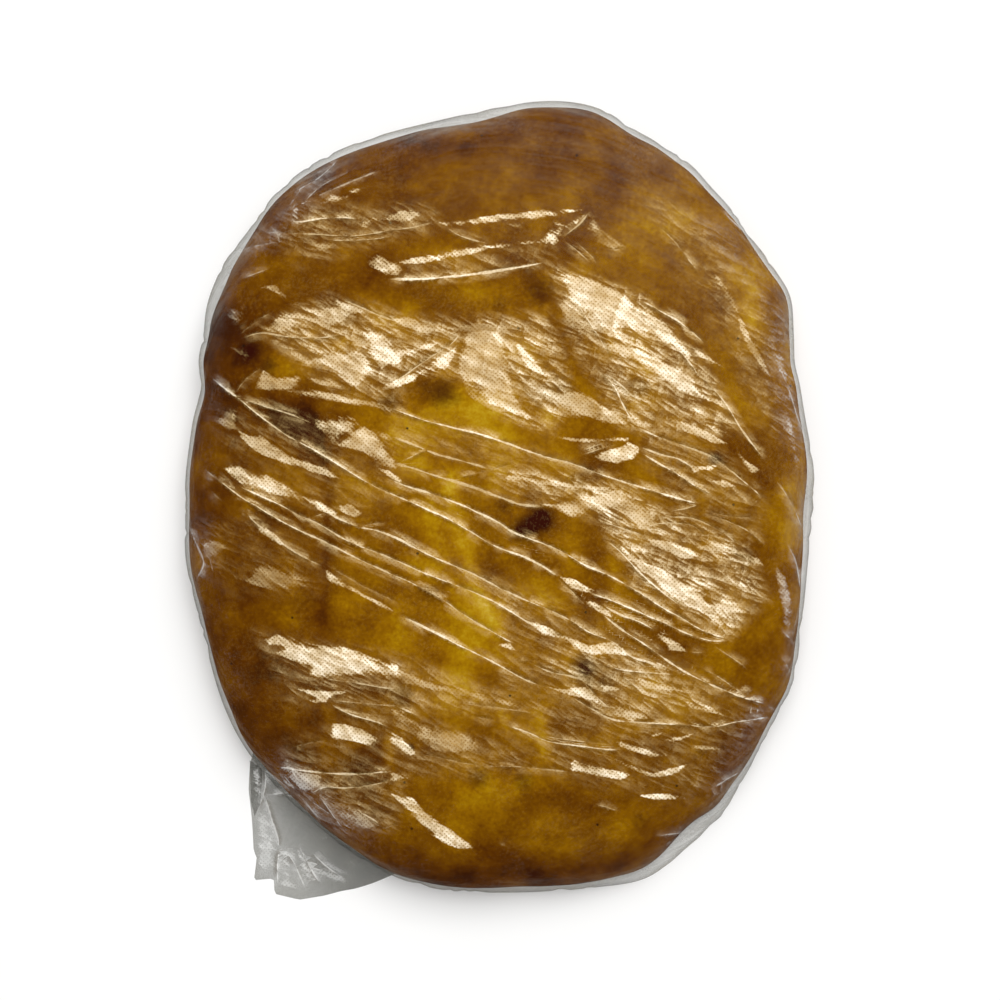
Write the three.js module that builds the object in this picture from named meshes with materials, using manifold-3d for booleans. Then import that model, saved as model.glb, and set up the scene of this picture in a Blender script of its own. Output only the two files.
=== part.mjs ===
// A thick oval lavash in a clear film bag, lying on its flat base with the baked side up.
// Millimetres, +Z up. The bag is shut and tight, so bread and film are one solid out to the film:
// an uneven oval dome with the bread's furrows under it, the film's long folds over it,
// a slack skirt of film round the foot and the bag's loose corner lying beside it.

import * as THREE from "three";
import { mergeVertices } from "three/addons/utils/BufferGeometryUtils.js";
import Module from "manifold-3d";

// Driving dimensions of the bagged bread
const halfWidth = 117;
const halfLength = 147.5;
const crownHeight = 47;
const rimHeight = 15; // where the sides stand out furthest
const lowestRim = 4; // the least that a slack skirt leaves of it
const footShare = 0.95; // of the outline, where the film turns under on to the table
const outlineSquareness = 2.35; // 2 is an ellipse
const domeFlatness = 2.25;
const domeSteepness = 1.9;

// Unevenness of the outline: so many lobes round the loaf, each standing out by so much
const outlineLobes = [
  { lobes: 2, size: 1.2, turn: -96 },
  { lobes: 3, size: 1.9, turn: 156 },
  { lobes: 5, size: 0.95, turn: -11 },
  { lobes: 6, size: 0.75, turn: 84 },
  { lobes: 7, size: 1.0, turn: -134 },
  { lobes: 8, size: 0.7, turn: -58 },
  { lobes: 10, size: 0.85, turn: 55 },
];

// The slack skirt: round these turns the film leaves the bread early and runs down to the table,
// so the widest line drops
const skirts = [
  { turn: -62, spread: 26, drop: 11 },
  { turn: 238, spread: 18, drop: 7 },
  { turn: 172, spread: 20, drop: 4 },
];

// Furrows pressed into the dough, softened by the film that spans them
const furrows = [
  { crest: [[-76, 42], [-66, 20], [-65, -20], [-68, -54]], high: -1.5, far: 7, near: 7 },
  { crest: [[-17, 30], [-12, -8], [-4, -46]], high: -1.3, far: 9, near: 9 },
  { crest: [[34, 22], [38, -14], [31, -62]], high: -1.0, far: 10, near: 10 },
  { crest: [[-50, 70], [-5, 73], [30, 80]], high: -1.2, far: 8, near: 8 },
];

// Folds of the film: the crest's points across the loaf, how high it stands,
// and how far its flanks run out to the far end and to the near end
const folds = [
  // long folds that cross the loaf from its left shoulder down to its right side
  { crest: [[-96, 38], [-58, 26], [-6, -5], [52, -30], [85, -51]], high: 2.0, far: 5, near: 4 },
  { crest: [[-98, 40], [-60, 13], [-6, -15], [22, -29], [85, -52]], high: 2.0, far: 5, near: 4 },
  { crest: [[22, -29], [52, -52], [92, -74]], high: 1.6, far: 4, near: 4 },
  { crest: [[-92, 42], [-30, 31], [22, 14], [82, -3]], high: 1.8, far: 6, near: 4 },
  { crest: [[-56, 31], [0, 10], [43, 4], [90, -40]], high: 1.8, far: 9, near: 5 },
  { crest: [[-110, 11], [-52, -21], [-11, -43]], high: 1.5, far: 5, near: 4 },
  { crest: [[-106, 11], [-71, -7], [-6, -37], [30, -56]], high: 1.6, far: 5, near: 4 },
  { crest: [[-102, 1], [-66, -25], [-18, -52], [21, -71], [40, -81], [98, -81]], high: 2.2, far: 6, near: 4 },
  // flatter folds near the front end
  { crest: [[-82, -63], [-38, -71], [38, -82]], high: 2.2, far: 12, near: 4 },
  { crest: [[-66, -90], [-22, -97], [42, -104]], high: 2.0, far: 10, near: 4 },
  { crest: [[-11, -81], [19, -90], [64, -96]], high: 1.6, far: 5, near: 4 },
  { crest: [[-41, -109], [-19, -129], [-8, -131]], high: 1.6, far: 6, near: 4 },
  // folds round the far end
  { crest: [[-86, 100], [-38, 100], [-24, 105], [34, 109]], high: 2.0, far: 5, near: 5 },
  { crest: [[-52, 94], [-43, 84], [17, 89]], high: 2.2, far: 6, near: 6 },
  { crest: [[-60, 76], [-22, 66], [11, 67]], high: 2.2, far: 5, near: 12 },
  { crest: [[18, 88], [53, 75], [77, 59]], high: 2.0, far: 5, near: 12 },
  { crest: [[20, 25], [50, 23], [72, 12], [97, 0]], high: 1.6, far: 6, near: 4 },
];
const foldStretch = 16; // over which a fold rises from each end of its crest
const reliefFade = 8; // how late the relief dies out towards the widest line

// The bag's loose corner: two tails of film folded flat, from the loaf's side out to the table.
// Each is a patch between four corners, from the end at the loaf to the free end.
const cornerFilm = 1.3;
const cornerTails = [
  { start: [[-96, -98], [-82, -108]], end: [[-94, -145], [-85, -144]], bulge: 0.5, lift: 6, wave: 0.9 },
  { start: [[-91, -105], [-54, -130]], end: [[-86, -150], [-49, -146.5]], bulge: 2.2, lift: 6, wave: 0.6 },
];
const rippleTurns = { across: 9, along: 4 }; // radians over a tail's width and length

// How finely the surface is split
const roundSteps = 108;
const domeRings = 34;
const wallRings = 5;
const baseRings = 3;
const ringSpread = 0.82; // under 1, the rings near the crown lie closer
const tailSteps = 10;
const crestSteps = 6; // for each point of a crest
const weldGap = 1e-4;

const crustColour = 0x9a6a1c; // as it shows through the film
const filmRoughness = 0.35;

// How near an angle is to a turn in degrees: 1 on it, falling away over the spread
function nearTurn(angle, turn, spread) {
  const off = THREE.MathUtils.euclideanModulo(THREE.MathUtils.radToDeg(angle) - turn + 180, 360) - 180;
  return Math.exp(-((off / spread) ** 2));
}

// Distance from the middle to the bag's outline
function outlineRadius(angle) {
  const across = Math.abs(Math.cos(angle) / halfWidth) ** outlineSquareness;
  const along = Math.abs(Math.sin(angle) / halfLength) ** outlineSquareness;
  let radius = (across + along) ** (-1 / outlineSquareness);
  for (const { lobes, size, turn } of outlineLobes)
    radius += size * Math.cos(lobes * angle - THREE.MathUtils.degToRad(turn));
  return radius;
}

// Height of the widest line, lower where the film runs slack to the table
function widestHeight(angle) {
  let height = rimHeight;
  for (const { turn, spread, drop } of skirts) height -= drop * nearTurn(angle, turn, spread);
  return Math.max(height, lowestRim);
}

// A fold or furrow with its crest as a smooth line
function withLine(fold) {
  const curve = new THREE.SplineCurve(fold.crest.map(([x, y]) => new THREE.Vector2(x, y)));
  return { ...fold, line: curve.getPoints(crestSteps * fold.crest.length), length: curve.getLength() };
}

const foldLines = folds.map(withLine);
const furrowLines = furrows.map(withLine);

// Height of one fold at a point: the nearest place on its crest gives the distance, side and rise
function foldHeight({ line, length, high, far, near }, point) {
  let best = Infinity;
  let height = 0;
  let run = 0;
  for (let i = 1; i < line.length; i++) {
    const start = line[i - 1];
    const step = line[i].clone().sub(start);
    const stepLength = step.length();
    const offset = point.clone().sub(start);
    const t = THREE.MathUtils.clamp(offset.dot(step) / step.lengthSq(), 0, 1);
    const distance = offset.clone().addScaledVector(step, -t).length();
    if (distance < best) {
      best = distance;
      const fromEnd = Math.min(run + t * stepLength, length - run - t * stepLength);
      const rise = THREE.MathUtils.smoothstep(fromEnd, 0, foldStretch);
      const reach = step.cross(offset) > 0 ? far : near;
      height = high * rise * Math.exp(-((distance / reach) ** 2));
    }
    run += stepLength;
  }
  return height;
}

// Relief of the top: the highest fold at a point stands up and the deepest furrow sinks in
function topRelief(x, y) {
  const point = new THREE.Vector2(x, y);
  const fold = Math.max(0, ...foldLines.map((line) => foldHeight(line, point)));
  const furrow = Math.min(0, ...furrowLines.map((line) => foldHeight(line, point)));
  return fold + furrow;
}

// The half section as a unit profile: x is the share of the outline, and y counts the rings,
// below 0 under the widest line and above 0 on the dome
function unitProfile() {
  const profile = [];
  for (let i = 0; i <= baseRings; i++) profile.push(new THREE.Vector2((footShare * i) / baseRings, -1));
  for (let i = 1; i < wallRings; i++) {
    const turn = (Math.PI / 2) * (i / wallRings);
    profile.push(new THREE.Vector2(footShare + (1 - footShare) * Math.sin(turn), -Math.cos(turn)));
  }
  for (let i = 0; i <= domeRings; i++) {
    const share = i / domeRings;
    profile.push(new THREE.Vector2(Math.cos((Math.PI / 2) * share ** ringSpread), share));
  }
  return profile;
}

// The bagged loaf: the unit profile spun round and drawn out to the outline and the dome
function loafGeometry() {
  const geometry = new THREE.LatheGeometry(unitProfile(), roundSteps);
  geometry.rotateX(Math.PI / 2);
  const place = geometry.getAttribute("position");
  for (let i = 0; i < place.count; i++) {
    const share = Math.hypot(place.getX(i), place.getY(i));
    const level = place.getZ(i);
    const angle = Math.atan2(place.getY(i), place.getX(i));
    const radius = share * outlineRadius(angle);
    const x = radius * Math.cos(angle);
    const y = radius * Math.sin(angle);
    const widest = widestHeight(angle);
    let z = widest * (1 + level);
    if (level > 0) {
      const dome = Math.max(0, 1 - share ** domeFlatness) ** (1 / domeSteepness);
      z = widest + (crownHeight - widest) * dome + topRelief(x, y) * (1 - share ** reliefFade);
    }
    place.setXYZ(i, x, y, z);
  }
  return geometry;
}

// A point between two others, each given as [x, y]
function between([ax, ay], [bx, by], t) {
  return [THREE.MathUtils.lerp(ax, bx, t), THREE.MathUtils.lerp(ay, by, t)];
}

// One tail of the loose corner: a thin slab between its four corners, rippled along its length
function tailGeometry({ start, end, bulge, lift, wave }) {
  const geometry = new THREE.BoxGeometry(1, 1, 1, tailSteps, tailSteps, 1);
  const place = geometry.getAttribute("position");
  for (let i = 0; i < place.count; i++) {
    const across = place.getX(i) + 0.5;
    const along = 0.5 - place.getY(i);
    const [x, y] = between(between(...start, across), between(...end, across), along);
    const outward = bulge * along * Math.sin(Math.PI * across);
    const slope = lift * (1 - along) ** 2;
    const ripple = wave * (1 + Math.sin(rippleTurns.across * across + rippleTurns.along * along));
    const thickness = place.getZ(i) > 0 ? cornerFilm : 0;
    place.setXYZ(i, x, y - outward, slope + ripple + thickness);
  }
  return geometry;
}

const wasm = await Module();
wasm.setup();

// A closed three.js geometry as a solid that can be joined
function solidOf(geometry) {
  geometry.deleteAttribute("normal");
  geometry.deleteAttribute("uv");
  const merged = mergeVertices(geometry, weldGap);
  return new wasm.Manifold(
    new wasm.Mesh({
      numProp: 3,
      vertProperties: merged.getAttribute("position").array,
      triVerts: new Uint32Array(merged.index.array),
    }),
  );
}

// A joined solid as a three.js geometry
function geometryOf(solid) {
  const { vertProperties, triVerts } = solid.getMesh();
  const geometry = new THREE.BufferGeometry();
  geometry.setAttribute("position", new THREE.BufferAttribute(vertProperties, 3));
  geometry.setIndex(new THREE.BufferAttribute(triVerts, 1));
  geometry.computeVertexNormals();
  return geometry;
}

let bagged = solidOf(loafGeometry());
for (const tail of cornerTails) bagged = bagged.add(solidOf(tailGeometry(tail)));

const baggedLavash = new THREE.Mesh(
  geometryOf(bagged),
  new THREE.MeshStandardMaterial({ color: crustColour, roughness: filmRoughness, metalness: 0 }),
);
baggedLavash.name = "bagged_lavash";

// The part's origin is under the middle of its box, on the table
const box = new THREE.Box3().setFromObject(baggedLavash);
const middle = box.getCenter(new THREE.Vector3());
baggedLavash.geometry.translate(-middle.x, -middle.y, -box.min.z);

const lavash = new THREE.Group();
lavash.name = "lavash_in_bag";
lavash.add(baggedLavash);

export default lavash;
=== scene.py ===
import math
from functools import partial

import bmesh
import bpy
import numpy as np
from mathutils import Matrix, Vector, noise


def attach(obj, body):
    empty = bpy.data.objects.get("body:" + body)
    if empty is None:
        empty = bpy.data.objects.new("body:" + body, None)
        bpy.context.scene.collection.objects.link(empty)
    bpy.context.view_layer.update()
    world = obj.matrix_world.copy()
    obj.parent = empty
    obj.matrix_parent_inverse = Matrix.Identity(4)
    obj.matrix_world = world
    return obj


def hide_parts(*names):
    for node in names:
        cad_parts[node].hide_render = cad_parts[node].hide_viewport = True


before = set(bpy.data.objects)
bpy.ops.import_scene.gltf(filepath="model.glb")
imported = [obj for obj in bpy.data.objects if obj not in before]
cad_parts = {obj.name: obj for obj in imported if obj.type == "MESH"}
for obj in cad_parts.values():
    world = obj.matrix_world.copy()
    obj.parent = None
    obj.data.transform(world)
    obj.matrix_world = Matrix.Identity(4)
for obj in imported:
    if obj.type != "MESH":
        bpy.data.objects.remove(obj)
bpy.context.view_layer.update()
mm = 0.001
farAway = 1e9  # mm, beyond any point of the part
topLevel, baseLevel = -1e-6, -0.999  # of a shell: the dome is over the first, the underside below the second
rimFade = 8  # power of the share of the outline by which relief dies away at the rim

# the photograph looks straight down on the loaf, so its pixels place the loaf's marks and the film's folds
photo = {
    "pixelMm": 0.375,  # at the height of the loaf's rim
    "middlePx": (500, 500),
    "loafMiddleMm": (1.6, 0.65),  # in the part's frame
    "rimMm": 18,
    "cameraMm": 918,
    "frameMm": 375,  # what the picture spans at the rim's height
    "sensorMm": 36,
}


def fromPhoto(points, height=None):
    # pixels to millimetres round the loaf's middle; what lies higher is nearer to the camera and looks larger
    middleX, middleY = photo["middlePx"]
    x = np.array([(p[0] - middleX) * photo["pixelMm"] for p in points])
    y = np.array([(middleY - p[1]) * photo["pixelMm"] for p in points])
    level = domeHeight(x, y, bagForm) if height is None else height
    nearer = (photo["cameraMm"] - level) / (photo["cameraMm"] - photo["rimMm"])
    return list(zip((x * nearer).tolist(), (y * nearer).tolist()))


def ease(low, high, value):
    t = np.clip((value - low) / (high - low), 0, 1)
    return t * t * (3 - 2 * t)


def turnOff(angle, turn):
    # degrees between each angle and one direction, -180 to 180
    return (np.degrees(angle) - turn + 180) % 360 - 180


def linearColour(hexCode):
    # sRGB hex to the linear values that shaders take
    parts = [int(hexCode[i : i + 2], 16) / 255 for i in (1, 3, 5)]
    linear = [c / 12.92 if c <= 0.04045 else ((c + 0.055) / 1.055) ** 2.4 for c in parts]
    return (*linear, 1.0)


def perMetre(sizeMm):
    # texture scale that gives swells of that size
    return 1 / (sizeMm * mm)


def addNode(tree, kind, settings=None, *inputs, **named):
    # one node with its settings and links: inputs in the order the node shows them or by name,
    # each a value, another node or one output of a node
    node = tree.nodes.new(kind)
    for name, value in (settings or {}).items():
        setattr(node, name, value)
    shown = [socket for socket in node.inputs if socket.enabled]
    byName = [(node.inputs[name.replace("_", " ")], value) for name, value in named.items()]
    for socket, value in [*zip(shown, inputs), *byName]:
        if isinstance(value, bpy.types.Node):
            value = next(output for output in value.outputs if output.enabled)
        if isinstance(value, bpy.types.NodeSocket):
            tree.links.new(value, socket)
        else:
            socket.default_value = value
    return node


# the bag and the bread are both uneven oval domes: half axes, lobes of the outline (count, size, turn),
# dents of the outline (turn, spread, inset), the widest line's height, and where slack film drops it
bagForm = {
    "halfWidth": 117, "halfLength": 147.5, "squareness": 2.35,
    "lobes": [
        (2, 1.2, -96), (3, 1.9, 156), (5, 0.95, -11), (6, 0.75, 84), (7, 1.0, -134), (8, 0.7, -58),
        (10, 0.85, 55),
    ],
    "crown": 46.6, "rim": 15, "lowestRim": 4, "flatness": 2.6, "steepness": 2.0,
    "skirts": [(-62, 26, 11), (238, 18, 7), (172, 20, 4)],
    "foot": 0.95, "base": 0.3, "inset": 0,
    "insets": [
        (35, 4, -2.2), (291, 5, -2.0), (328, 6, -1.7), (4, 9, -1.4), (305, 3, -1.2), (60, 3, -0.9),
        (160, 4, 2.0), (133, 5, 1.8), (183, 6, 1.4), (70, 4, 1.8), (151, 3, 1.2), (25, 3, 1.0), (46, 4, 1.0),
    ],
}
breadForm = {
    **bagForm,
    "crown": 43.6, "rim": 16,
    "foot": 0.88, "base": 1.2,
    "inset": 1.1,  # inside the bag all round, and further in where the film is slack
    "insets": bagForm["insets"] + [
        (300, 9, 4.0), (283, 8, 1.0), (92, 9, 1.6), (110, 10, 1.2), (142, 8, 2.2), (358, 6, 1.6), (60, 14, 0.6),
    ],
}


def outlineRadius(angle, form):
    power = form["squareness"]
    across = np.abs(np.cos(angle) / form["halfWidth"]) ** power
    along = np.abs(np.sin(angle) / form["halfLength"]) ** power
    radius = (across + along) ** (-1 / power)
    for lobes, size, turn in form["lobes"]:
        radius = radius + size * np.cos(lobes * angle - math.radians(turn))
    for turn, spread, inset in form["insets"]:
        radius = radius - inset * np.exp(-((turnOff(angle, turn) / spread) ** 2))
    return radius - form["inset"]


def widestHeight(angle, form):
    height = np.full_like(angle, form["rim"])
    for turn, spread, drop in form["skirts"]:
        height = height - drop * np.exp(-((turnOff(angle, turn) / spread) ** 2))
    return np.maximum(height, form["lowestRim"])


def domeHeight(x, y, form):
    angle = np.arctan2(y, x)
    share = np.clip(np.hypot(x, y) / outlineRadius(angle, form), 0, 1)
    widest = widestHeight(angle, form)
    return widest + (form["crown"] - widest) * (1 - share ** form["flatness"]) ** (1 / form["steepness"])


def wallHeight(angle, level, form):
    return form["base"] + (widestHeight(angle, form) - form["base"]) * (1 + level)


def unitShell(columns, rows, turn, innerShare, rings):
    # a closed shell one unit wide: a fine grid over the top, drawn round, then rings down the wall and under;
    # x and y are the share of the outline and z is the level, 0 on the dome and -1 at the foot
    bm = bmesh.new()
    bmesh.ops.create_grid(bm, x_segments=columns, y_segments=rows, size=1)
    for v in bm.verts:
        u, w = v.co.x, v.co.y
        v.co = Vector((u * math.sqrt(1 - w * w / 2), w * math.sqrt(1 - u * u / 2), 0)) * innerShare
    bmesh.ops.rotate(bm, verts=bm.verts, matrix=Matrix.Rotation(math.radians(turn), 3, "Z"))
    edge = [e for e in bm.edges if e.is_boundary]
    for share, level in rings:
        grown = bmesh.ops.extrude_edge_only(bm, edges=edge)["geom"]
        edge = [g for g in grown if isinstance(g, bmesh.types.BMEdge) and g.is_boundary]
        for v in {v for e in edge for v in e.verts}:
            out = Vector((v.co.x, v.co.y, 0)).normalized() * share
            v.co = (out.x, out.y, level)
    last = list({v for e in edge for v in e.verts})
    bmesh.ops.pointmerge(bm, verts=last, merge_co=(0, 0, -1))
    bmesh.ops.recalc_face_normals(bm, faces=bm.faces)
    return bm


def shellRings(form, domeShares, wallSteps, baseShares):
    rings = [(share, 0.0) for share in domeShares]
    for i in range(1, wallSteps + 1):
        turn = math.pi / 2 * i / wallSteps
        rings.append((form["foot"] + (1 - form["foot"]) * math.cos(turn), -math.sin(turn)))
    return rings + [(form["foot"] * share, -1.0) for share in baseShares]


def smoothLine(points, steps=5):
    # a curve through given points
    line = []
    for i in range(len(points) - 1):
        before = Vector(points[max(i - 1, 0)])
        start = Vector(points[i])
        end = Vector(points[i + 1])
        after = Vector(points[min(i + 2, len(points) - 1)])
        for k in range(steps):
            t = k / steps
            line.append(
                0.5 * (2 * start + (end - before) * t + (2 * before - 5 * start + 4 * end - after) * t**2
                       + (3 * start - before - 3 * end + after) * t**3)
            )
    return [tuple(p) for p in line] + [tuple(points[-1])]


def strokeDistance(x, y, line):
    # nearest place on a line: how far off it is, on which side, and how far from the line's nearer end
    best = np.full(x.shape, farAway)
    side = np.zeros(x.shape)
    along = np.zeros(x.shape)
    run = 0.0
    for (ax, ay), (bx, by) in zip(line, line[1:]):
        dx, dy = bx - ax, by - ay
        length = math.hypot(dx, dy)
        t = np.clip(((x - ax) * dx + (y - ay) * dy) / length**2, 0, 1)
        off = np.hypot(x - ax - t * dx, y - ay - t * dy)
        near = off < best
        best = np.where(near, off, best)
        side = np.where(near, dx * (y - ay) - dy * (x - ax), side)
        along = np.where(near, run + t * length, along)
        run += length
    return best, np.sign(side), np.minimum(along, run - along)


def insideDistance(x, y, corners):
    # distance to the edge of a closed shape, positive inside
    best = np.full(x.shape, farAway)
    inside = np.zeros(x.shape, dtype=bool)
    for (ax, ay), (bx, by) in zip(corners, corners[1:] + corners[:1]):
        dx, dy = bx - ax, by - ay
        t = np.clip(((x - ax) * dx + (y - ay) * dy) / (dx * dx + dy * dy), 0, 1)
        best = np.minimum(best, np.hypot(x - ax - t * dx, y - ay - t * dy))
        if dy != 0:
            inside ^= ((ay > y) != (by > y)) & (x < ax + dx * (y - ay) / dy)
    return np.where(inside, best, -best)


def noiseAt(x, y, z, size, seed):
    # smooth seeded noise, about -1 to 1, with swells of the given size
    return np.array([noise.noise(Vector((a / size + seed, b / size, c / size))) for a, b, c in zip(x, y, z)])


def meshFrom(bm, name):
    # numbered by place, because the operators leave new faces in an order that changes from run to run
    for i, v in enumerate(sorted(bm.verts, key=lambda v: tuple(v.co))):
        v.index = i
    for i, f in enumerate(sorted(bm.faces, key=lambda f: tuple(f.calc_center_median()))):
        f.index = i
    bm.verts.sort()
    bm.faces.sort()
    mesh = bpy.data.meshes.new(name)
    bm.to_mesh(mesh)
    bm.free()
    return mesh


def meshCoords(mesh):
    flat = np.empty(len(mesh.vertices) * 3, dtype=np.float64)
    mesh.vertices.foreach_get("co", flat)
    return flat.reshape(-1, 3)


def storeValues(mesh, name, values):
    layer = mesh.attributes.new(name, "FLOAT", "POINT")
    layer.data.foreach_set("value", np.ascontiguousarray(values, dtype=np.float32))


def placeMesh(mesh, x, y, z):
    middleX, middleY = photo["loafMiddleMm"]
    coords = np.stack([x + middleX, y + middleY, z], axis=1) * mm
    mesh.vertices.foreach_set("co", coords.ravel())
    mesh.update()
    mesh.polygons.foreach_set("use_smooth", [True] * len(mesh.polygons))


def addPiece(name, mesh, material):
    piece = bpy.data.objects.new(name, mesh)
    bpy.context.collection.objects.link(piece)
    mesh.materials.append(material)
    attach(piece, "root")
    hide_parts("bagged_lavash")
    return piece


# the bread: furrows pressed into the dough, bubbles that rose and scorched, and how the crust browned
breadLook = {
    "columns": 190, "rows": 210, "gridTurn": 0, "innerShare": 0.9,
    "domeShares": (0.925, 0.95, 0.97, 0.985, 0.995, 1.0), "wallSteps": 7, "baseShares": (0.9, 0.7, 0.45, 0.2),
    # points in pixels, depth and width in mm, and how much darker the crust is along the furrow
    "furrows": [
        {"line": [(297, 388), (322, 446), (327, 553), (318, 644)], "depth": 1.7, "width": 4, "darkerBy": 0.16},
        {"line": [(455, 420), (468, 520), (490, 622)], "depth": 1.4, "width": 6, "darkerBy": 0},
        {"line": [(590, 440), (601, 537), (582, 665)], "depth": 1.0, "width": 7, "darkerBy": 0.08},
        {"line": [(367, 313), (487, 305), (580, 287)], "depth": 1.3, "width": 7, "darkerBy": 0.06},
        {"line": [(345, 690), (352, 745)], "depth": 0.9, "width": 3, "darkerBy": 0},
        {"line": [(545, 735), (560, 800)], "depth": 0.8, "width": 3, "darkerBy": 0},
    ],
    # place and radius in pixels, rise in mm, scorch 0 to 1
    "bubbles": [
        (248, 350, 17, 0.9, 0.75), (268, 366, 10, 0.5, 0.6), (300, 428, 20, 0.6, 0.5), (388, 402, 12, 0.7, 0.45),
        (443, 393, 16, 0.8, 0.55), (541, 519, 13, 0.9, 0.9), (523, 530, 13, 0.4, 0.75), (585, 670, 17, 0.8, 0.75),
        (532, 525, 12, 0.2, 0.85),
        (716, 459, 8, 0.6, 0.75), (604, 682, 12, 0.3, 0.4), (455, 398, 9, 0.3, 0.4), (428, 386, 9, 0.3, 0.35),
        (640, 387, 12, 0.6, 0.4), (540, 290, 15, 0.6, 0.45), (500, 302, 11, 0.5, 0.3), (530, 275, 10, 0.4, 0.3),
        (400, 695, 14, 0.6, 0.5), (352, 765, 20, 0.7, 0.4), (480, 778, 13, 0.5, 0.45), (524, 782, 12, 0.5, 0.45),
        (560, 390, 20, 0.6, 0.35), (262, 515, 16, 0.5, 0.3), (322, 180, 14, 0.5, 0.5), (575, 480, 14, 0.4, 0.35),
        (505, 505, 11, 0.4, 0.35), (430, 592, 12, 0.3, 0.25), (745, 560, 14, 0.3, 0.3), (300, 602, 18, 0.4, 0.25),
        (640, 820, 12, 0.3, 0.35), (535, 880, 16, 0.3, 0.35), (465, 148, 10, 0.4, 0.4), (700, 752, 10, 0.3, 0.35),
        (410, 748, 4, 0.2, 1.0),
    ],
    # place, reach across and along in pixels, and how much browner or paler than the rest; three of them are
    # painted shade, noted below
    "browning": [
        (235, 430, 60, 120, 0.17), (290, 700, 80, 90, 0.2), (330, 215, 110, 60, 0.14), (440, 150, 140, 45, 0.12),
        (460, 480, 55, 90, -0.06), (500, 425, 50, 45, -0.2), (425, 560, 40, 90, -0.1), (470, 690, 90, 70, -0.06),
        (570, 590, 50, 60, -0.1), (640, 595, 26, 22, -0.1), (700, 225, 70, 70, -0.06), (365, 780, 60, 50, 0.21),
        (420, 320, 90, 26, -0.05), (415, 305, 14, 9, -0.2), (700, 430, 60, 50, -0.06), (790, 500, 20, 50, -0.2),
        # (300, 415) on the next line is painted shade along a fold
        (480, 862, 22, 12, -0.2), (560, 700, 40, 40, 0.12), (300, 415, 36, 20, 0.26), (690, 790, 60, 40, 0.1),
        (430, 415, 45, 30, -0.14), (795, 350, 30, 70, -0.18), (795, 630, 30, 70, -0.06), (500, 565, 22, 45, 0.03),
        (640, 565, 45, 45, 0.12), (640, 640, 50, 35, 0.03), (365, 275, 55, 35, 0.13), (222, 350, 30, 60, 0.17),
        (575, 425, 32, 30, 0.18), (500, 832, 90, 22, -0.12), (290, 565, 50, 40, 0.11), (715, 425, 35, 40, 0.14),
        (560, 210, 50, 35, 0.1), (715, 280, 30, 40, -0.1), (435, 630, 40, 35, -0.06), (500, 700, 40, 35, -0.06),
        # (445, 870) and (565, 874) on the next line are painted shade on the near rim
        (445, 870, 75, 24, 0.26), (565, 874, 85, 22, 0.24), (752, 285, 20, 45, -0.36), (208, 500, 22, 50, -0.08),
        (780, 560, 22, 40, 0.08), (225, 570, 25, 40, 0.08), (205, 610, 25, 45, 0.1), (676, 194, 22, 26, -0.14),
        (325, 445, 36, 32, 0.12), (500, 790, 70, 30, -0.06),
    ],
    # pale streaks where the dough stayed light: points in pixels, width in mm, strength, below 0 for a dark one,
    # which is painted shade
    "paleStreaks": [
        ([(450, 480), (464, 540), (476, 585), (498, 632)], 4.0, 0.3), ([(548, 410), (560, 455)], 4.0, 0.18),
        # the first streak on the next line is the dark one: painted shade along a fold
        ([(255, 395), (290, 425), (330, 470)], 6.0, -0.2), ([(326, 702), (330, 724)], 2.6, 0.3),
        ([(387, 735), (390, 768)], 2.2, 0.28), ([(540, 715), (546, 760)], 3.0, 0.22),
        ([(470, 855), (490, 868)], 3.0, 0.2), ([(410, 380), (404, 430)], 3.0, 0.1),
        ([(612, 560), (622, 610)], 3.0, 0.12), ([(455, 678), (475, 690)], 4.0, 0.16),
    ],
    "furrowTaper": 14, "darkerTaper": 10, "streakTaper": (-4, 4),  # mm from the ends over which they die away
    "bubbleSpread": 1.1, "scorchEdge": 1.2,  # how far past its radius a bubble rises, and how sharp its char is
    "baseBrowning": 0.54, "rimBrowning": 0.1, "rimFrom": 0.72,
    "underBrowning": 0.08,  # the side that lay on the hot wall
    "swellMm": (0.45, 22, 0.22, 8),  # unevenness and its length, coarse then fine
    "swellSeeds": (3.0, 9.0), "swellParts": (1.0, 0.3, 0.1),  # on the top, down the wall and underneath
    "raggedRim": 0.006, "raggedMm": 18, "raggedSeed": 15.0, "raggedFrom": 0.85,
}


def breadRelief(x, y):
    look = breadLook
    relief = np.zeros_like(x)
    for furrow in look["furrows"]:
        off, _, fromEnd = strokeDistance(x, y, smoothLine(fromPhoto(furrow["line"])))
        depth = furrow["depth"] * ease(0, look["furrowTaper"], fromEnd)
        relief -= depth * np.exp(-((off / furrow["width"]) ** 2))
    for px, py, radius, rise, _ in look["bubbles"]:
        (cx, cy), = fromPhoto([(px, py)])
        reach = radius * photo["pixelMm"] * look["bubbleSpread"]
        relief += rise * np.exp(-((x - cx) ** 2 + (y - cy) ** 2) / reach**2)
    return relief


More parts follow.
